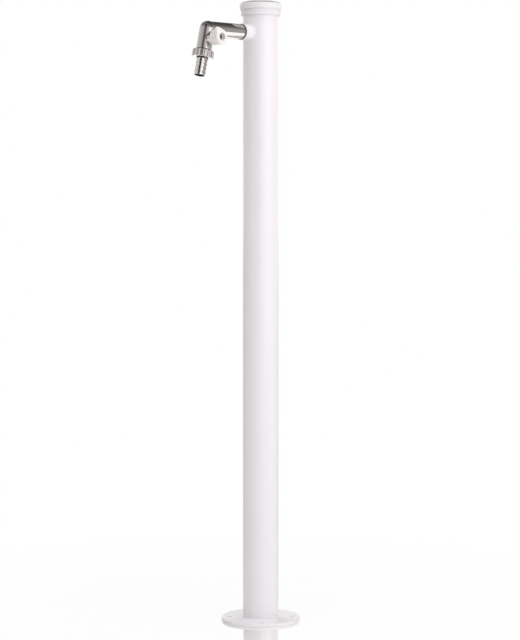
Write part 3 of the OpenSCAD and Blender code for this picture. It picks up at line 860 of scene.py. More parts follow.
def hole_tree(material):
    """Holes around an axis: one cutter stands at each place of the circle and is cut away."""
    wiring, size = new_tree("holes_around_foot", {
        "Cutter": OBJECT, "Holes": INTEGER, "Circle": FLOAT, "First Turn": FLOAT,
    })
    circle = wiring.add("GeometryNodeMeshCircle", "Mesh", {}, {
        "Vertices": size["Holes"],
        "Radius": size["Circle"] / 2,
    })
    turned_circle = wiring.add("GeometryNodeTransform", "Geometry", {}, {
        "Geometry": circle,
        "Rotation": vector_of(wiring, Z=size["First Turn"]),
    })
    drilling = {"operation": "DIFFERENCE", "solver": "EXACT"}
    drilled = wiring.add("GeometryNodeMeshBoolean", "Mesh", drilling, {
        "Mesh 1": size["Geometry"],
        "Mesh 2": copies(wiring, turned_circle, size["Cutter"]),
    })
    return close_tree(wiring, drilled, material)


def weld_tree(material):
    """A weld bead along the curve where a round boss meets a round tube."""
    wiring, size = new_tree("weld_on_saddle", {
        "Tube Radius": FLOAT, "Boss Radius": FLOAT, "Bead Radius": FLOAT, "Height": FLOAT, "Ripples": FLOAT,
    })
    ripple_height = 0.07
    circle = round_curve(wiring, size["Boss Radius"], points=160)
    x, y, _ = position(wiring)
    out = wiring.math("SQRT", size["Tube Radius"] * size["Tube Radius"] - x * x)
    saddle = moved_to(wiring, circle, vector_of(wiring, X=x, Y=0 - out, Z=y + size["Height"]))
    along = wiring.add("GeometryNodeSplineParameter", "Factor")
    ripple = 1 + ripple_height * wiring.math("SINE", along * size["Ripples"] * FULL_TURN)
    swelling = wiring.add("GeometryNodeSetCurveRadius", "Curve", {}, {"Curve": saddle, "Radius": ripple})
    bead = wiring.add("GeometryNodeCurveToMesh", "Mesh", {}, {
        "Curve": swelling,
        "Profile Curve": round_curve(wiring, size["Bead Radius"], points=14),
    })
    return close_tree(wiring, bead, material)


def thread_tree(material):
    """A screw thread: a ridge with four edges that winds up a round wall."""
    wiring, size = new_tree("thread_on_wall", {"Wall Radius": FLOAT, "Pitch": FLOAT, "Length": FLOAT})
    winding = wiring.add("GeometryNodeCurveSpiral", "Curve", {}, {
        "Resolution": 64,
        "Rotations": size["Length"] / size["Pitch"],
        "Start Radius": size["Wall Radius"],
        "End Radius": size["Wall Radius"],
        "Height": size["Length"],
    })
    upright = wiring.add("GeometryNodeSetCurveNormal", "Curve", {"mode": "Z_UP"}, {"Curve": winding})
    ridge = wiring.add("GeometryNodeCurveToMesh", "Mesh", {}, {
        "Curve": upright,
        "Profile Curve": round_curve(wiring, size["Pitch"] / 2, points=4),
        "Fill Caps": True,
    })
    return close_tree(wiring, ridge, material)


def wind_thread(name, finish_name, place, wall_radius, pitch, whole):
    """Wind a thread along the local Z axis, with its ends inside the length that it has."""
    ridge = object_for(name, bpy.data.meshes.new(name))
    run_tree(ridge, thread_tree(finish(finish_name)), {
        "Wall Radius": wall_radius,
        "Pitch": pitch,
        "Length": whole - pitch,
    })
    ridge.data.transform(place @ Matrix.Translation((0, 0, pitch / 2)))
    smooth(ridge, finish_name, "standpipe")


# Column, foot and cap

def threaded_socket_outline(outside, thread, stop, first, second, whole, edge):
    """Outline of a socket with a thread in each end and a stop between them."""
    return rounded([
        (thread + edge, 0, 0),
        (outside, 0, edge),
        (outside, whole, edge),
        (thread + edge, whole, 0),
        (thread, whole - edge, 0),
        (thread, whole - second, 0),
        (stop, whole - second, 0),
        (stop, first, 0),
        (thread, first, 0),
        (thread, edge, 0),
    ])


class STANDPIPE_OT_column(bpy.types.Operator):
    """Make the column tube, its welded outlet boss and the weld"""

    bl_idname = "standpipe.column"
    bl_label = "Column"

    def execute(self, context):
        column = context.scene.standpipe_column
        tube_r = column.tube_diameter / 2
        bore_r = tube_r - column.tube_wall
        boss_r = column.boss_diameter / 2
        edge = column.edge_round
        outline = rounded([
            (bore_r, TUBE_LOW.z, 0),
            (tube_r, TUBE_LOW.z, 0),
            (tube_r, TUBE_HIGH.z, edge),
            (bore_r, TUBE_HIGH.z, 0),
        ])
        tube = turned("painted_tube", outline, Matrix(), LARGE_TURN)
        hole_outline = [(0, 0), (boss_r, 0), (boss_r, tube_r * 2), (0, tube_r * 2)]
        cut(tube, turned("boss_hole", hole_outline, arm_place(0), MIDDLE_TURN))
        smooth(tube, "powder_coat", "standpipe", "column_tube")

        boss_len = BOSS_HIGH.y - BOSS_LOW.y
        outline = threaded_socket_outline(
            boss_r, column.boss_thread / 2, column.boss_stop / 2,
            column.boss_thread_length, column.boss_thread_length, boss_len, edge,
        )
        boss = turned("welded_boss", outline, arm_place(BOSS_FACE - boss_len), MIDDLE_TURN)
        smooth(boss, "powder_coat", "standpipe", "outlet_boss")

        weld = object_for("boss_weld", bpy.data.meshes.new("boss_weld"))
        run_tree(weld, weld_tree(finish("powder_coat")), {
            "Tube Radius": tube_r,
            "Boss Radius": boss_r,
            "Bead Radius": column.weld_radius,
            "Height": TAP_HEIGHT,
            "Ripples": 46.0,
        })
        smooth(weld, "powder_coat", "standpipe")
        return {"FINISHED"}


class STANDPIPE_OT_foot(bpy.types.Operator):
    """Make the foot plate with its fixing holes and weld, and the supply socket"""

    bl_idname = "standpipe.foot"
    bl_label = "Foot"

    def execute(self, context):
        foot = context.scene.standpipe_foot
        column = context.scene.standpipe_column
        plate_r = foot.plate_diameter / 2
        top = foot.plate_thickness
        tube_r = column.tube_diameter / 2
        socket_r = foot.socket_diameter / 2
        toe = tube_r + foot.weld_leg
        lower_edge = foot.plate_round / 2
        weld_hollow = 0.4 * MM
        outline = rounded([
            (socket_r, 0, 0),
            (plate_r, 0, lower_edge),
            (plate_r, top, foot.plate_round),
            (toe, top, 0),
        ])
        hollow = (toe + weld_hollow, top + foot.weld_leg + weld_hollow)
        start = Vector((toe, top)) - Vector(hollow)
        end = Vector((tube_r, top + foot.weld_leg)) - Vector(hollow)
        outline += arc(hollow, start.length, heading(start), turn_between(start, end))
        outline += [(tube_r, top), (socket_r, top)]
        plate = turned("foot_plate", outline, Matrix(), LARGE_TURN)

        hole_r = foot.hole_diameter / 2
        bevel = foot.hole_bevel
        past = 1 * MM
        hole_outline = [
            (0, -past),
            (hole_r, -past),
            (hole_r, top - bevel),
            (hole_r + bevel, top),
            (hole_r + bevel, top + past),
            (0, top + past),
        ]
        cutter = turned("hole_cutter", hole_outline, Matrix(), SMALL_TURN)
        run_tree(plate, hole_tree(finish("powder_coat")), {
            "Cutter": cutter,
            "Holes": foot.hole_count,
            "Circle": foot.hole_circle,
            "First Turn": foot.hole_turn,
        })
        bpy.data.objects.remove(cutter)
        smooth(plate, "powder_coat", "standpipe", "base_flange")

        whole = SOCKET_HIGH.z - SOCKET_LOW.z
        thread_r = column.boss_thread / 2
        outline = threaded_socket_outline(
            socket_r, thread_r, column.boss_stop / 2,
            foot.supply_thread_length, column.boss_thread_length, whole, column.edge_round,
        )
        socket = turned("supply_socket", outline, Matrix(), MIDDLE_TURN)
        smooth(socket, "zinc_plate", "standpipe", "inlet_socket")
        pitch = context.scene.standpipe_tap.thread_pitch
        wind_thread("supply_thread", "zinc_plate", Matrix(), thread_r, pitch, foot.supply_thread_length)
        return {"FINISHED"}


class STANDPIPE_OT_cap(bpy.types.Operator):
    """Make the domed cap with its rim and beaded skirt"""

    bl_idname = "standpipe.cap"
    bl_label = "Cap"

    SKIRT_ROUND = 0.5 * MM
    CORNER_ROOM = 0.6 * MM
    CORNER_ROUND = 0.4 * MM
    RIM_FOOT_ROUND = 0.8 * MM
    BEAD_STEPS = 10
    DOME_STEPS = 28
    INNER_STEPS = 20
    PLAY = 0.05 * MM

    def execute(self, context):
        cap = context.scene.standpipe_cap
        column = context.scene.standpipe_column
        inner_r = column.tube_diameter / 2 + cap.fit
        skirt_r = inner_r + cap.skirt_wall
        rim_r = cap.rim_diameter / 2
        seat_r = column.tube_diameter / 2 - column.tube_wall
        ledge_r = rim_r - cap.rim_round
        dome_r = ledge_r - cap.crown_ledge
        step_top = cap.rim_height + cap.crown_step
        top = cap.rim_height + cap.dome_rise
        sphere = arc_radius(2 * dome_r, cap.dome_rise - cap.crown_step)
        bead_arc = arc_radius(cap.bead_height, cap.bead_rise)
        bead_half = math.asin(cap.bead_height / 2 / bead_arc)
        bead_step = (cap.skirt_height - cap.rim_drop) / cap.bead_count
        foot_centre = (skirt_r - self.SKIRT_ROUND, self.SKIRT_ROUND - cap.skirt_height)
        outline = arc(foot_centre, self.SKIRT_ROUND, -QUARTER_TURN, QUARTER_TURN)
        for bead in range(cap.bead_count):
            centre = (skirt_r + cap.bead_rise - bead_arc, (bead + 0.5) * bead_step - cap.skirt_height)
            outline += arc(centre, bead_arc, -bead_half, 2 * bead_half, self.BEAD_STEPS)
        outline += rounded([
            (skirt_r, -cap.rim_drop - self.CORNER_ROOM, 0),
            (skirt_r, -cap.rim_drop, self.CORNER_ROUND),
            (rim_r, -cap.rim_drop, self.RIM_FOOT_ROUND),
            (rim_r, cap.rim_height, cap.rim_round),
            (dome_r, cap.rim_height, 0),
        ])
        dome_centre = (0, top - sphere)
        dome_half = math.asin(dome_r / sphere)
        outline += arc(dome_centre, sphere, QUARTER_TURN - dome_half, dome_half, self.DOME_STEPS)
        inner_sphere = sphere - cap.dome_wall
        inner_half = math.asin(seat_r / inner_sphere)
        outline += arc(dome_centre, inner_sphere, QUARTER_TURN, -inner_half, self.INNER_STEPS)
        outline += [(seat_r, 0), (inner_r, 0), (inner_r, -cap.skirt_height)]
        place = Matrix.Translation((0, 0, TUBE_HIGH.z))
        piece = turned("domed_cap", outline, place, LARGE_TURN)
        smooth(piece, "cap_plastic", "standpipe", "top_cap")

        # Painted shade: the step and ledge at the foot of the crown get a grey finish for the shade line
        # there
        def in_painted_groove_shade(radius, height):
            on_ledge = dome_r - self.PLAY < radius < ledge_r
            return on_ledge and cap.rim_height - self.PLAY < height < step_top

        add_finish(piece, place, "groove_grime", in_painted_groove_shade)
        return {"FINISHED"}


# Tap

def round_frame(points, place):
    """Each point's radius about a local frame's Z axis, and its place along that axis."""
    inverse = numpy.array(place.inverted())
    local = points @ inverse[:3, :3].T + inverse[:3, 3]
    return numpy.hypot(local[:, 0], local[:, 1]), local[:, 2]


def rod_distance(radius, along, rod_radius, start, end, edge):
    """Distance to a rod with rounded edges, from each point's radius and place along the rod."""
    sideways = radius - rod_radius + edge
    endways = numpy.abs(along - (start + end) / 2) - (end - start) / 2 + edge
    outside = numpy.hypot(numpy.maximum(sideways, 0), numpy.maximum(endways, 0))
    return outside + numpy.minimum(numpy.maximum(sideways, endways), 0) - edge


def blended(first, second, width):
    """Soft union of two distances."""
    overlap = numpy.maximum(width - numpy.abs(first - second), 0)
    return numpy.minimum(first, second) - overlap * overlap / (4 * width)


def carved(first, second, width):
    """Soft cut of the second shape out of the first."""
    return -blended(-first, second, width)


def tap_distance(points, tap):
    """Signed distance from points to the skin of the tap's body."""
    arm = round_frame(points, arm_place(0))
    leg = round_frame(points, leg_place(tap, 0))
    stem = round_frame(points, stem_place(tap, 0))
    past = 2 * MM
    between_threads = 3 * MM
    bore_blend = 0.3 * MM
    reach = SHOULDER + tap.arm_length
    inlet = BOSS_FACE - (BOSS_HIGH.y - BOSS_LOW.y - between_threads) / 2
    plain = tap.leg_length - tap.undercut_length
    outlet = tap.leg_length + tap.outlet_length
    ball_r = tap.leg_diameter / 2
    boss_end = tap.stem_boss_end

    def rod(seen_from, diameter, start, end):
        return rod_distance(*seen_from, diameter / 2, start, end, tap.edge_round)

    side = rod(leg, tap.leg_diameter, -ball_r, plain)
    leg_r, leg_at = leg
    crown = numpy.hypot(leg_r, leg_at) - ball_r
    skin = numpy.where(leg_at < 0, crown, side)
    skin = blended(skin, rod(arm, tap.arm_diameter, SHOULDER, reach), tap.cast_round)
    skin = blended(skin, rod(stem, tap.stem_boss, 0, boss_end), tap.cast_round)
    turned_parts = [
        rod(leg, tap.leg_diameter - 2 * tap.undercut_depth, plain - past, tap.leg_length + past),
        rod(leg, tap.outlet_diameter - tap.thread_pitch, tap.leg_length, outlet),
        rod(arm, tap.inlet_thread, inlet, SHOULDER + past),
    ]
    for part in turned_parts:
        skin = numpy.minimum(skin, part)
    bores = [
        rod(arm, tap.arm_bore, inlet - past, reach),
        rod(leg, tap.leg_bore, 0, tap.valve_drop),
        rod(leg, tap.chamber, tap.chamber_top, outlet + past),
        rod(stem, tap.stem_bore, 0, boss_end),
        rod(stem, tap.gland_bore, tap.gland_start, boss_end + past),
    ]
    for bore in bores:
        skin = carved(skin, bore, bore_blend)
    return skin


def tap_slope(points, tap):
    """Slope of the skin's distance at each point, by small steps."""
    step = 0.02 * MM
    slope = numpy.empty_like(points)
    for axis in range(3):
        shift = numpy.zeros(3)
        shift[axis] = step
        rise = tap_distance(points + shift, tap) - tap_distance(points - shift, tap)
        slope[:, axis] = rise / (2 * step)
    return slope


def skin_piece(name, node, tap):
    """Remesh a copy of a node in even facets, and draw each point onto the blended skin."""
    passes = 8
    least_steep = 0.2
    longest_step = 0.3 * MM
    least_slope = 1e-6
    shell = bmesh.new()
    shell.from_mesh(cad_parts[node].data)
    bmesh.ops.remove_doubles(shell, verts=shell.verts, dist=MERGE_DISTANCE)
    piece = object_for(name, mesh_of(name, shell))
    remesh = piece.modifiers.new("even_facets", "REMESH")
    remesh.mode = "VOXEL"
    remesh.voxel_size = tap.skin_step
    mesh = plain_mesh(piece)
    points = numpy.empty(len(mesh.vertices) * 3)
    mesh.vertices.foreach_get("co", points)
    points = points.reshape(-1, 3)
    for _ in range(passes):
        slope = tap_slope(points, tap)
        steep = numpy.maximum((slope * slope).sum(axis=1), least_steep)
        step = numpy.clip(tap_distance(points, tap) / steep, -longest_step, longest_step)
        points = points - slope * step[:, None]
    mesh.vertices.foreach_set("co", points.ravel())
    mesh.update()
    mesh.shade_smooth()
    slope = tap_slope(points, tap)
    slope /= numpy.maximum(numpy.linalg.norm(slope, axis=1), least_slope)[:, None]
    mesh.normals_split_custom_set_from_vertices(slope.tolist())
    return piece


class STANDPIPE_OT_tap(bpy.types.Operator):
    """Make the chromed tap body, its gland nut and the washer behind its shoulder"""

    bl_idname = "standpipe.tap"
    bl_label = "Tap"

    def execute(self, context):
        tap = context.scene.standpipe_tap
        column = context.scene.standpipe_column
        body = skin_piece("elbow_body", "tap_body", tap)
        settle(body, "chrome_plate", "standpipe", "tap_body")
        undercut = tap.leg_length - tap.undercut_length
        groove_r = tap.leg_diameter / 2 - tap.undercut_depth / 2

        # Painted shade: the faces of the undercut over the outlet thread get a dark finish for the shade in
        # that groove
        def in_painted_shade(radius, height):
            return undercut < height < tap.leg_length and tap.chamber / 2 < radius < groove_r

        add_finish(body, leg_place(tap, 0), "dark_stain", in_painted_shade)
        root_r = tap.outlet_diameter / 2 - tap.thread_pitch / 2
        outlet = leg_place(tap, tap.leg_length)
        wind_thread("outlet_thread", "chrome_plate", outlet, root_r, tap.thread_pitch, tap.outlet_length)

        washer_t = WASHER_HIGH.y - WASHER_LOW.y
        washer_round = 0.5 * MM
        outline = rounded([
            (column.boss_thread / 2, 0, 0),
            (WASHER_HIGH.x, 0, washer_round),
            (WASHER_HIGH.x, washer_t, washer_round),
            (column.boss_thread / 2, washer_t, 0),
        ])
        seal = turned("inlet_seal", outline, arm_place(BOSS_FACE), MIDDLE_TURN)
        smooth(seal, "black_rubber", "standpipe", "inlet_washer")
        smooth(self.gland(tap), "chrome_plate", "standpipe", "gland_nut")
        return {"FINISHED"}

    @staticmethod
    def gland(tap):
        """A hexagon head with chamfered corners on a threaded shank."""
        segments = 96
        thread_gap = 0.1 * MM
        under_bevel, under_height = 0.5 * MM, 0.4 * MM
        top_bevel, top_height = 0.8 * MM, 0.5 * MM
        side = FULL_TURN / 6
        flat_r = tap.gland_flats / 2
        corner_r = flat_r / math.cos(side / 2)
        shank_r = tap.gland_bore / 2 - thread_gap
        shaft_r = tap.gland_shaft / 2
        head = tap.stem_boss_end - tap.gland_start
        top = head + tap.gland_height
        rows = [
            (shaft_r, 0, False),
            (shank_r, 0, False),
            (shank_r, head, False),
            (corner_r - under_bevel, head, True),
            (corner_r, head + under_height, True),
            (corner_r, top - top_height, True),
            (corner_r - top_bevel, top, True),
            (shaft_r, top, False),
        ]
        rings = []
        for radius, height, six_sided in rows:
            ring = []
            for step in range(segments):
                turn = FULL_TURN * step / segments
                off_flat = (turn + side / 2) % side - side / 2
                across = flat_r / math.cos(off_flat)
                reach = min(radius, across) if six_sided else radius
                ring.append((reach * math.cos(turn), reach * math.sin(turn)))
            rings.append(ring_of(ring, height))
        return loft("gland", rings, stem_place(tap, tap.gland_start))


# Handle

def handle_loop(lug_reach, knob_r, lug_r, height):
    """Loop round the knob and its lug, with the lug along local X."""
    lug_steps, side_steps, knob_steps = 28, 6, 64
    lean = math.acos((knob_r - lug_r) / lug_reach)
    flat = arc((lug_reach, 0), lug_r, -lean, 2 * lean, lug_steps)
    knob = arc((0, 0), knob_r, lean, FULL_TURN - 2 * lean, knob_steps)
    flat += between(flat[-1], knob[0], side_steps)
    flat += knob
    flat += between(knob[-1], flat[0], side_steps)
    return ring_of(flat, height)


def between(start, end, steps):
    """Points spaced evenly between two points, without them."""
    return [start.lerp(end, step / steps) for step in range(1, steps)]


def circle_loop(outer, radius, height):
    """Circle with a point in the direction of each point of an outer loop."""
    flat = []
    for point in outer:
        turn = heading(point)
        flat.append((radius * math.cos(turn), radius * math.sin(turn)))
    return ring_of(flat, height)


class STANDPIPE_OT_handle(bpy.types.Operator):
    """Make the knob with its thumb lug and recess, and the slotted screw"""

    bl_idname = "standpipe.handle"
    bl_label = "Handle"

    EDGE_STEPS = 4
    FRONT_STEPS = 8
    SCREW_DOME_STEPS = 10
    SCREW_TIP = 1 * MM
    SCREW_TIP_SHARE = 0.6
    SCREW_BEVEL = 0.15 * MM
    SLOT_PAST = 1 * MM

    def execute(self, context):
        handle = context.scene.standpipe_handle
        tap = context.scene.standpipe_tap
        turn = Matrix.Rotation(math.pi + handle.lug_turn, 4, "Z")
        knob = loft("knob", self.knob_rings(handle), stem_place(tap, handle.back) @ turn)
        smooth(knob, "handle_plastic", "valve_handle", "handle")

        head_r = handle.screw_head / 2
        shank_r = handle.screw_diameter / 2
        dome = arc_radius(handle.screw_head, handle.screw_dome)
        dome_half = math.asin(head_r / dome)
        head_top = handle.screw_edge + handle.screw_dome
        dome_start = QUARTER_TURN - dome_half
        outline = [
            (0, -handle.screw_length),
            (shank_r * self.SCREW_TIP_SHARE, -handle.screw_length),
            (shank_r, self.SCREW_TIP - handle.screw_length),
            (shank_r, 0),
            (head_r - self.SCREW_BEVEL, 0),
            (head_r, self.SCREW_BEVEL),
            *arc((0, head_top - dome), dome, dome_start, dome_half, self.SCREW_DOME_STEPS),
        ]
        place = stem_place(tap, handle.back + handle.depth - handle.recess_depth)
        screw = turned("handle_fixing", outline, place, SMALL_TURN)
        cut(screw, self.slot_bar(handle, place, head_top))
        smooth(screw, "screw_steel", "valve_handle", "handle_screw")
        return {"FINISHED"}

    def knob_rings(self, handle):
        """Loops from the back, over the outside and the face, down the recess and back."""
        depth = handle.depth
        reach = handle.lug_reach
        knob_r = handle.knob_diameter / 2
        lug_r = handle.lug_diameter / 2
        front = handle.front_round
        edge = handle.back_round
        lug_start = depth - handle.lug_thickness
        root_r = knob_r - handle.draft * (lug_start - handle.rim) / (depth - front - handle.rim)
        guide = handle_loop(reach, root_r, lug_r - edge, lug_start)
        rings = []
        for inset, height in arc((edge, edge), edge, -QUARTER_TURN, -QUARTER_TURN, self.EDGE_STEPS):
            rings.append(circle_loop(guide, knob_r - inset, height))
        rings.append(circle_loop(guide, knob_r, handle.rim))
        rings.append(circle_loop(guide, root_r, lug_start))
        lug_edge = (edge, lug_start + edge)
        for inset, height in arc(lug_edge, edge, -QUARTER_TURN, -QUARTER_TURN, self.EDGE_STEPS):
            rings.append(handle_loop(reach, root_r, lug_r - inset, height))
        front_edge = (handle.draft + front, depth - front)
        for inset, height in arc(front_edge, front, math.pi, -QUARTER_TURN, self.FRONT_STEPS):
            rings.append(handle_loop(reach, knob_r - inset, lug_r - inset, height))
        outer = rings[-1]
        recess_r = handle.recess_diameter / 2
        lip = handle.recess_round
        floor = depth - handle.recess_depth
        circles = [
            (recess_r + lip, depth),
            *arc((recess_r + lip, depth - lip), lip, QUARTER_TURN, QUARTER_TURN)[1:],
            *arc((recess_r - lip, floor + lip), lip, 0, -QUARTER_TURN),
            (handle.screw_hole / 2, floor),
            (handle.screw_hole / 2, handle.stem_hole_depth),
            (handle.stem_hole / 2, handle.stem_hole_depth),
            (handle.stem_hole / 2, handle.gland_room_depth),
            (handle.gland_room / 2, handle.gland_room_depth),
            (handle.gland_room / 2, 0),
        ]
        for radius, height in map(Vector, circles):
            rings.append(circle_loop(outer, radius, height))
        return rings

    def slot_bar(self, handle, place, head_top):
        """A bar that cuts the screw's slot."""
        reach = handle.screw_head
        half = handle.slot_width / 2
        low = head_top - handle.slot_depth
        high = head_top + self.SLOT_PAST
        flat = [(-reach, -half), (reach, -half), (reach, half), (-reach, half)]
        points = [place @ point for point in ring_of(flat, low) + ring_of(flat, high)]
        faces = [(0, 1, 2, 3), (4, 5, 6, 7), (0, 1, 5, 4), (1, 2, 6, 5), (2, 3, 7, 6), (3, 0, 4, 7)]
        return closed_piece("screw_slot", points, faces)


# Hose end

class STANDPIPE_OT_hose_end(bpy.types.Operator):
    """Make the ribbed union nut and the barbed hose tail"""

    bl_idname = "standpipe.hose_end"
    bl_label = "Hose end"

    RIB_SEGMENTS = 20
    NUT_EDGE = 0.25 * MM
    TAIL_EDGE = 0.3 * MM
    COLLAR_FILLET = 0.6 * MM
    BARB_ROOT = 0.4 * MM
    BARB_FOOT = 0.05 * MM
    BARB_GAP = 0.1 * MM
    BARB_BACK_ROUND = 0.2 * MM
    BARB_LAND_ROUND = 0.3 * MM

    def execute(self, context):
        end = context.scene.standpipe_hose_end
        place = leg_place(context.scene.standpipe_tap, 0)
        self.make_nut(end, place)
        self.make_tail(end, place)
        return {"FINISHED"}

    def make_nut(self, end, place):
        """The union nut, with grooves between its ribs."""
        nut_r = end.nut_diameter / 2
        thread_r = end.nut_thread / 2
        mouth_r = end.nut_mouth / 2
        lip = end.nut_end - end.nut_lip
        edge = self.NUT_EDGE
        chamfer = end.nut_chamfer
        outline = rounded([
            (thread_r, end.nut_top, edge),
            (nut_r - chamfer, end.nut_top, edge),
            (nut_r, end.nut_top + chamfer, edge),
            (nut_r, end.nut_end - chamfer, edge),
            (nut_r - chamfer, end.nut_end, edge),
            (mouth_r, end.nut_end, edge),
            (mouth_r, lip, 0),
            (thread_r, lip, 0),
        ])
        nut = turned("ribbed_nut", outline, Matrix(), end.rib_count * self.RIB_SEGMENTS)
        run_tree(nut, rib_tree(finish("ribbed_chrome")), {
            "Outside": nut_r,
            "Ribs": end.rib_count,
            "Groove Depth": end.groove_depth,
            "Groove Arc": arc_radius(end.groove_width, end.groove_depth),
        })
        nut.data.transform(place)
        smooth(nut, "ribbed_chrome", "union_ring", "union_nut")

    def make_tail(self, end, place):
        """The tail with its collar and barbs, with painted shade in its bore, on its end face and on a band
        beside the nut.
        """
        tail_r = end.tail_diameter / 2
        bore_r = end.tail_bore / 2
        collar_r = end.collar_diameter / 2
        collar_end = end.collar_top + end.collar_thickness
        shade_band_end = end.nut_end + end.shade_band_width
        outline = rounded([
            (bore_r, end.collar_top, self.TAIL_EDGE),
            (collar_r, end.collar_top, self.TAIL_EDGE),
            (collar_r, collar_end, self.TAIL_EDGE),
            (tail_r, collar_end, self.COLLAR_FILLET),
            (tail_r, shade_band_end, 0),
            (tail_r, end.tail_end, self.TAIL_EDGE),
            (bore_r, end.tail_end, 0),
        ])
        tail = turned("barbed_tail", outline, Matrix(), MIDDLE_TURN)
        barb_r = end.barb_diameter / 2
        root_r = tail_r - self.BARB_ROOT
        barb_end = end.barb_pitch - self.BARB_GAP
        barb_outline = rounded([
            (root_r, 0, 0),
            (barb_r, 0, self.BARB_BACK_ROUND),
            (barb_r, end.barb_land, self.BARB_LAND_ROUND),
            (tail_r - self.BARB_FOOT, barb_end, 0),
            (root_r, barb_end, 0),
        ])
        barb = turned("barb_ring", barb_outline, Matrix(), MIDDLE_TURN)
        run_tree(tail, barb_tree(finish("chrome_plate")), {
            "Barb": barb,
            "Barbs": end.barb_count,
            "First": end.tail_end - end.barb_count * end.barb_pitch,
            "Pitch": end.barb_pitch,
        })
        bpy.data.objects.remove(barb)
        tail.data.transform(place)
        smooth(tail, "chrome_plate", "hose_connector", "hose_tail")

        # Painted shade: the bore, the end face and the band just below the nut get a dark finish for the
        # shade there
        def in_painted_shade(radius, height):
            in_bore = radius < bore_r + MERGE_DISTANCE
            at_mouth = height > end.tail_end - MERGE_DISTANCE
            return in_bore or at_mouth or collar_end < height < shade_band_end

        add_finish(tail, place, "dark_stain", in_painted_shade)


# Inner pieces

class STANDPIPE_OT_inner(bpy.types.Operator):
    """Give each piece inside the column and the valve its own finish"""

    bl_idname = "standpipe.inner"
    bl_label = "Inner pieces"

    NODES = {
        "bare_brass": ["lower_adaptor", "lower_nut", "upper_nut", "riser_elbow", "seat_ring", "valve_stem"],
        "drawn_copper": ["lower_olive", "riser_pipe", "upper_olive"],
        "seat_plastic": ["upper_seat", "lower_seat", "thrust_washer"],
        "chrome_plate": ["valve_ball"],
        "black_rubber": ["stem_orings", "hose_washer"],
    }

    def execute(self, context):
        for finish_name, nodes in self.NODES.items():
            for node in nodes:
                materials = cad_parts[node].data.materials
                materials.clear()
                materials.append(finish(finish_name))
        return {"FINISHED"}


# Stage

# Metres that the last stop of the floor's far ramp stands for
FAR_REACH = 10


def set_world(stage):
    """White for the camera and the floor's mirror, an even fill, and a grey studio in the metal."""
    world = bpy.data.worlds.new("studio")
    wiring = clear_wiring(world)
    seen, through, mirrored, from_floor = wiring.several("ShaderNodeLightPath", [
        "Is Camera Ray", "Is Transmission Ray", "Is Glossy Ray", "Is Singular Ray",
    ])
    studio = stage.panels * studio_level(wiring, stage.camera_turn)
    level = mirrored * studio + (1 - mirrored) * stage.fill
    white = wiring.math("MAXIMUM", wiring.math("MAXIMUM", seen, through), from_floor)
    tone = wiring.mix_colour(white, level, WHITE)
    background = wiring.add("ShaderNodeBackground", "Background", {}, {"Color": tone, "Strength": 1.0})
    wiring.node("ShaderNodeOutputWorld", {}, {"Surface": background})
    bpy.context.scene.world = world


def studio_level(wiring, turn):
    """Grey level of the studio, by the turn from behind the column and by the height."""
    direction = wiring.add("ShaderNodeTexCoord", "Generated")
    up = wiring.add("ShaderNodeSeparateXYZ", "Z", {}, {"Vector": direction})
    to_camera = dot(wiring, direction, (math.sin(turn), -math.cos(turn), 0))
    to_right = dot(wiring, direction, (math.cos(turn), math.sin(turn), 0))
    around = 0.5 + wiring.math("ARCTAN2", to_right, to_camera) / FULL_TURN
    walls = ramp(wiring, around, [
        (0.0, 0.26), (0.04, 0.6), (0.25, 0.67), (0.38, 0.63), (0.4, 0.17), (0.485, 0.17), (0.505, 0.65),
        (0.62, 0.65), (0.69, 0.34), (0.8, 0.32), (0.88, 0.2), (1.0, 0.19),
    ])
    ceiling = ramp(wiring, up, [(0.0, 1.0), (0.2, 0.88), (0.4, 0.65), (0.62, 0.31), (0.8, 0.2)])
    low = ramp(wiring, up, [(0.24, 1.0), (0.33, 0.0)])
    flag = ramp(wiring, around, [(0.4, 0.0), (0.42, 0.93), (0.49, 0.93), (0.51, 0.0)])
    softbox = ramp(wiring, around, [(0.515, 0.0), (0.54, 1.0), (0.68, 1.0), (0.71, 0.0)])
    backdrop = ramp(wiring, around, [(0.06, 0.62), (0.1, 0.0), (0.81, 0.0), (0.87, 0.62)])
    white = low * wiring.math("MAXIMUM", softbox, backdrop)
    return white + (1 - white) * walls * ceiling * (1 - low * flag)


def dot(wiring, vector, direction):
    """How far a vector points in a direction."""
    return wiring.add(
        "ShaderNodeVectorMath", "Value", {"operation": "DOT_PRODUCT"}, {0: vector, 1: direction}
    )


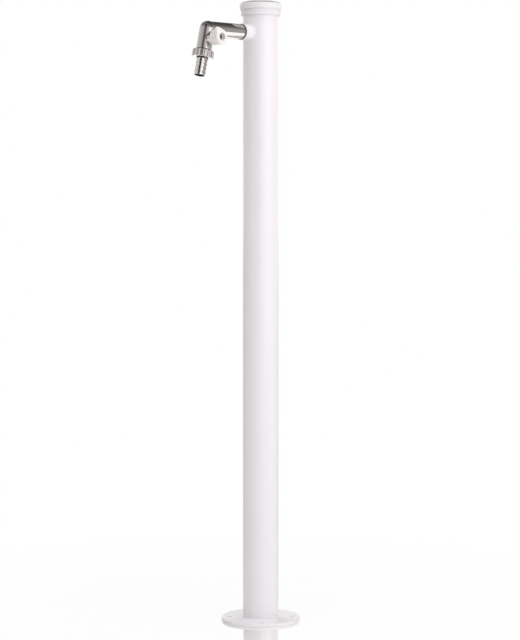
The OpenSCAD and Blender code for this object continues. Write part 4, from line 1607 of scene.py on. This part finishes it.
def white_floor(stage):
    """White floor that keeps the shadow, mirrors at a low angle and turns plain white further away.

    The object's gloss sees it white from above, and grey at a low angle and far off.
    """
    material = bpy.data.materials.new("white_floor")
    wiring = clear_wiring(material)
    by_eye, in_gloss = wiring.several("ShaderNodeLightPath", ["Is Camera Ray", "Is Glossy Ray"])
    place = wiring.add("ShaderNodeTexCoord", "Object")
    board = wiring.add("ShaderNodeBsdfDiffuse", "BSDF", {}, {"Color": opaque(stage.floor)})
    mirror = wiring.add("ShaderNodeBsdfGlossy", "BSDF", {}, {"Color": opaque(WHITE), "Roughness": 0.0})
    slant = wiring.add("ShaderNodeLayerWeight", "Facing", {}, {"Blend": 0.5})
    share = stage.floor_mirror * by_eye * ramp(wiring, slant, [(0.45, 0.0), (0.72, 1.0)])
    near = wiring.add("ShaderNodeMixShader", "Shader", {}, {0: share, 1: board, 2: mirror})
    distance = wiring.add("ShaderNodeVectorMath", "Value", {"operation": "LENGTH"}, {0: place})
    far = ramp(wiring, distance, [(0.3, 0.0), (0.9, 1.0)])
    low_angle = ramp(wiring, slant, [(0.72, 0.0), (0.82, 1.0)])
    far_off = ramp(wiring, distance / FAR_REACH, [(0.26, 0.0), (0.36, 1.0)])
    grey = wiring.math("MAXIMUM", low_angle, far_off) * in_gloss
    in_metal = stage.panels * (1 - (1 - stage.floor_grey) * grey)
    strength = by_eye + (1 - by_eye) * in_metal
    plain = wiring.add("ShaderNodeEmission", "Emission", {}, {"Strength": strength})
    cover = wiring.math("MAXIMUM", far * by_eye, wiring.math("MAXIMUM", far, low_angle) * in_gloss)
    whole = wiring.add("ShaderNodeMixShader", "Shader", {}, {0: cover, 1: near, 2: plain})
    wiring.node("ShaderNodeOutputMaterial", {}, {"Surface": whole})
    return material


def area_lamp(name, power, size, location, target):
    """Add a soft lamp that faces a target. The studio's white panel stands for it in the metal."""
    lamp = bpy.data.lights.new(name, "AREA")
    lamp.energy = power
    lamp.shape = "RECTANGLE"
    lamp.size, lamp.size_y = size
    holder = object_for(name, lamp)
    holder.visible_camera = False
    holder.visible_glossy = False
    holder.location = location
    holder.rotation_euler = (Vector(target) - Vector(location)).to_track_quat("-Z", "Y").to_euler()


class STANDPIPE_OT_stage(bpy.types.Operator):
    """Set the camera, the white floor, the soft light and the world"""

    bl_idname = "standpipe.stage"
    bl_label = "Stage"

    def execute(self, context):
        stage = context.scene.standpipe_stage
        camera = bpy.data.cameras.new("photo_camera")
        camera.lens = stage.lens
        camera.sensor_width = 36.0
        camera.sensor_fit = "AUTO"
        camera.clip_end = 100.0
        turn = stage.camera_turn
        away = Vector((math.sin(turn), -math.cos(turn), 0)) * stage.camera_distance
        left = Vector((-math.cos(turn), -math.sin(turn), 0)) * stage.camera_left
        holder = object_for("photo_camera", camera)
        holder.location = away + left + Vector((0, 0, stage.camera_height))
        holder.rotation_euler = (QUARTER_TURN - stage.camera_pitch, 0, turn)
        context.scene.camera = holder
        context.scene.view_settings.view_transform = "Standard"

        half = stage.floor_size / 2
        corners = [(-half, -half, 0), (half, -half, 0), (half, half, 0), (-half, half, 0)]
        floor_mesh = bpy.data.meshes.new("floor")
        floor_mesh.from_pydata(corners, [], [(0, 1, 2, 3)])
        floor = object_for("floor", floor_mesh)
        floor_mesh.materials.append(white_floor(stage))

        cap_height = (0, 0, 1.05)
        middle = (0, 0, 0.6)
        area_lamp("key_lamp", stage.key_power, size=(2.4, 1.4), location=(2.8, 0, 1.75), target=cap_height)
        area_lamp("top_lamp", stage.top_power, size=(5.0, 5.0), location=(0.6, -0.6, 6.0), target=middle)
        set_world(stage)
        return {"FINISHED"}


# Panel and registration

STEPS = [
    ("Column", "standpipe_column", ColumnSizes, STANDPIPE_OT_column),
    ("Foot", "standpipe_foot", FootSizes, STANDPIPE_OT_foot),
    ("Cap", "standpipe_cap", CapSizes, STANDPIPE_OT_cap),
    ("Tap", "standpipe_tap", TapSizes, STANDPIPE_OT_tap),
    ("Handle", "standpipe_handle", HandleSizes, STANDPIPE_OT_handle),
    ("Hose end", "standpipe_hose_end", HoseEndSizes, STANDPIPE_OT_hose_end),
    ("Finishes", "standpipe_colours", FinishColours, STANDPIPE_OT_inner),
    ("Stage", "standpipe_stage", StageSettings, STANDPIPE_OT_stage),
]


class STANDPIPE_PT_panel(bpy.types.Panel):
    """Sizes, colours and steps of the standpipe"""

    bl_label = "Standpipe"
    bl_idname = "STANDPIPE_PT_panel"
    bl_space_type = "VIEW_3D"
    bl_region_type = "UI"
    bl_category = "Standpipe"

    def draw(self, context):
        for label, name, group, operator in STEPS:
            box = self.layout.box()
            box.label(text=label)
            for setting in group.__annotations__:
                box.prop(getattr(context.scene, name), setting)
            box.operator(operator.bl_idname)


def register():
    """Register the settings, the operators and the panel."""
    for _, name, group, operator in STEPS:
        bpy.utils.register_class(group)
        setattr(bpy.types.Scene, name, bpy.props.PointerProperty(type=group))
        bpy.utils.register_class(operator)
    bpy.utils.register_class(STANDPIPE_PT_panel)


def unregister():
    """Remove the panel, the operators and the settings."""
    bpy.utils.unregister_class(STANDPIPE_PT_panel)
    for _, name, group, operator in reversed(STEPS):
        bpy.utils.unregister_class(operator)
        delattr(bpy.types.Scene, name)
        bpy.utils.unregister_class(group)


def main():
    """Make every piece and the stage."""
    register()
    bpy.ops.standpipe.column()
    bpy.ops.standpipe.foot()
    bpy.ops.standpipe.cap()
    bpy.ops.standpipe.tap()
    bpy.ops.standpipe.handle()
    bpy.ops.standpipe.hose_end()
    bpy.ops.standpipe.inner()
    bpy.ops.standpipe.stage()


if __name__ == "__main__":
    main()
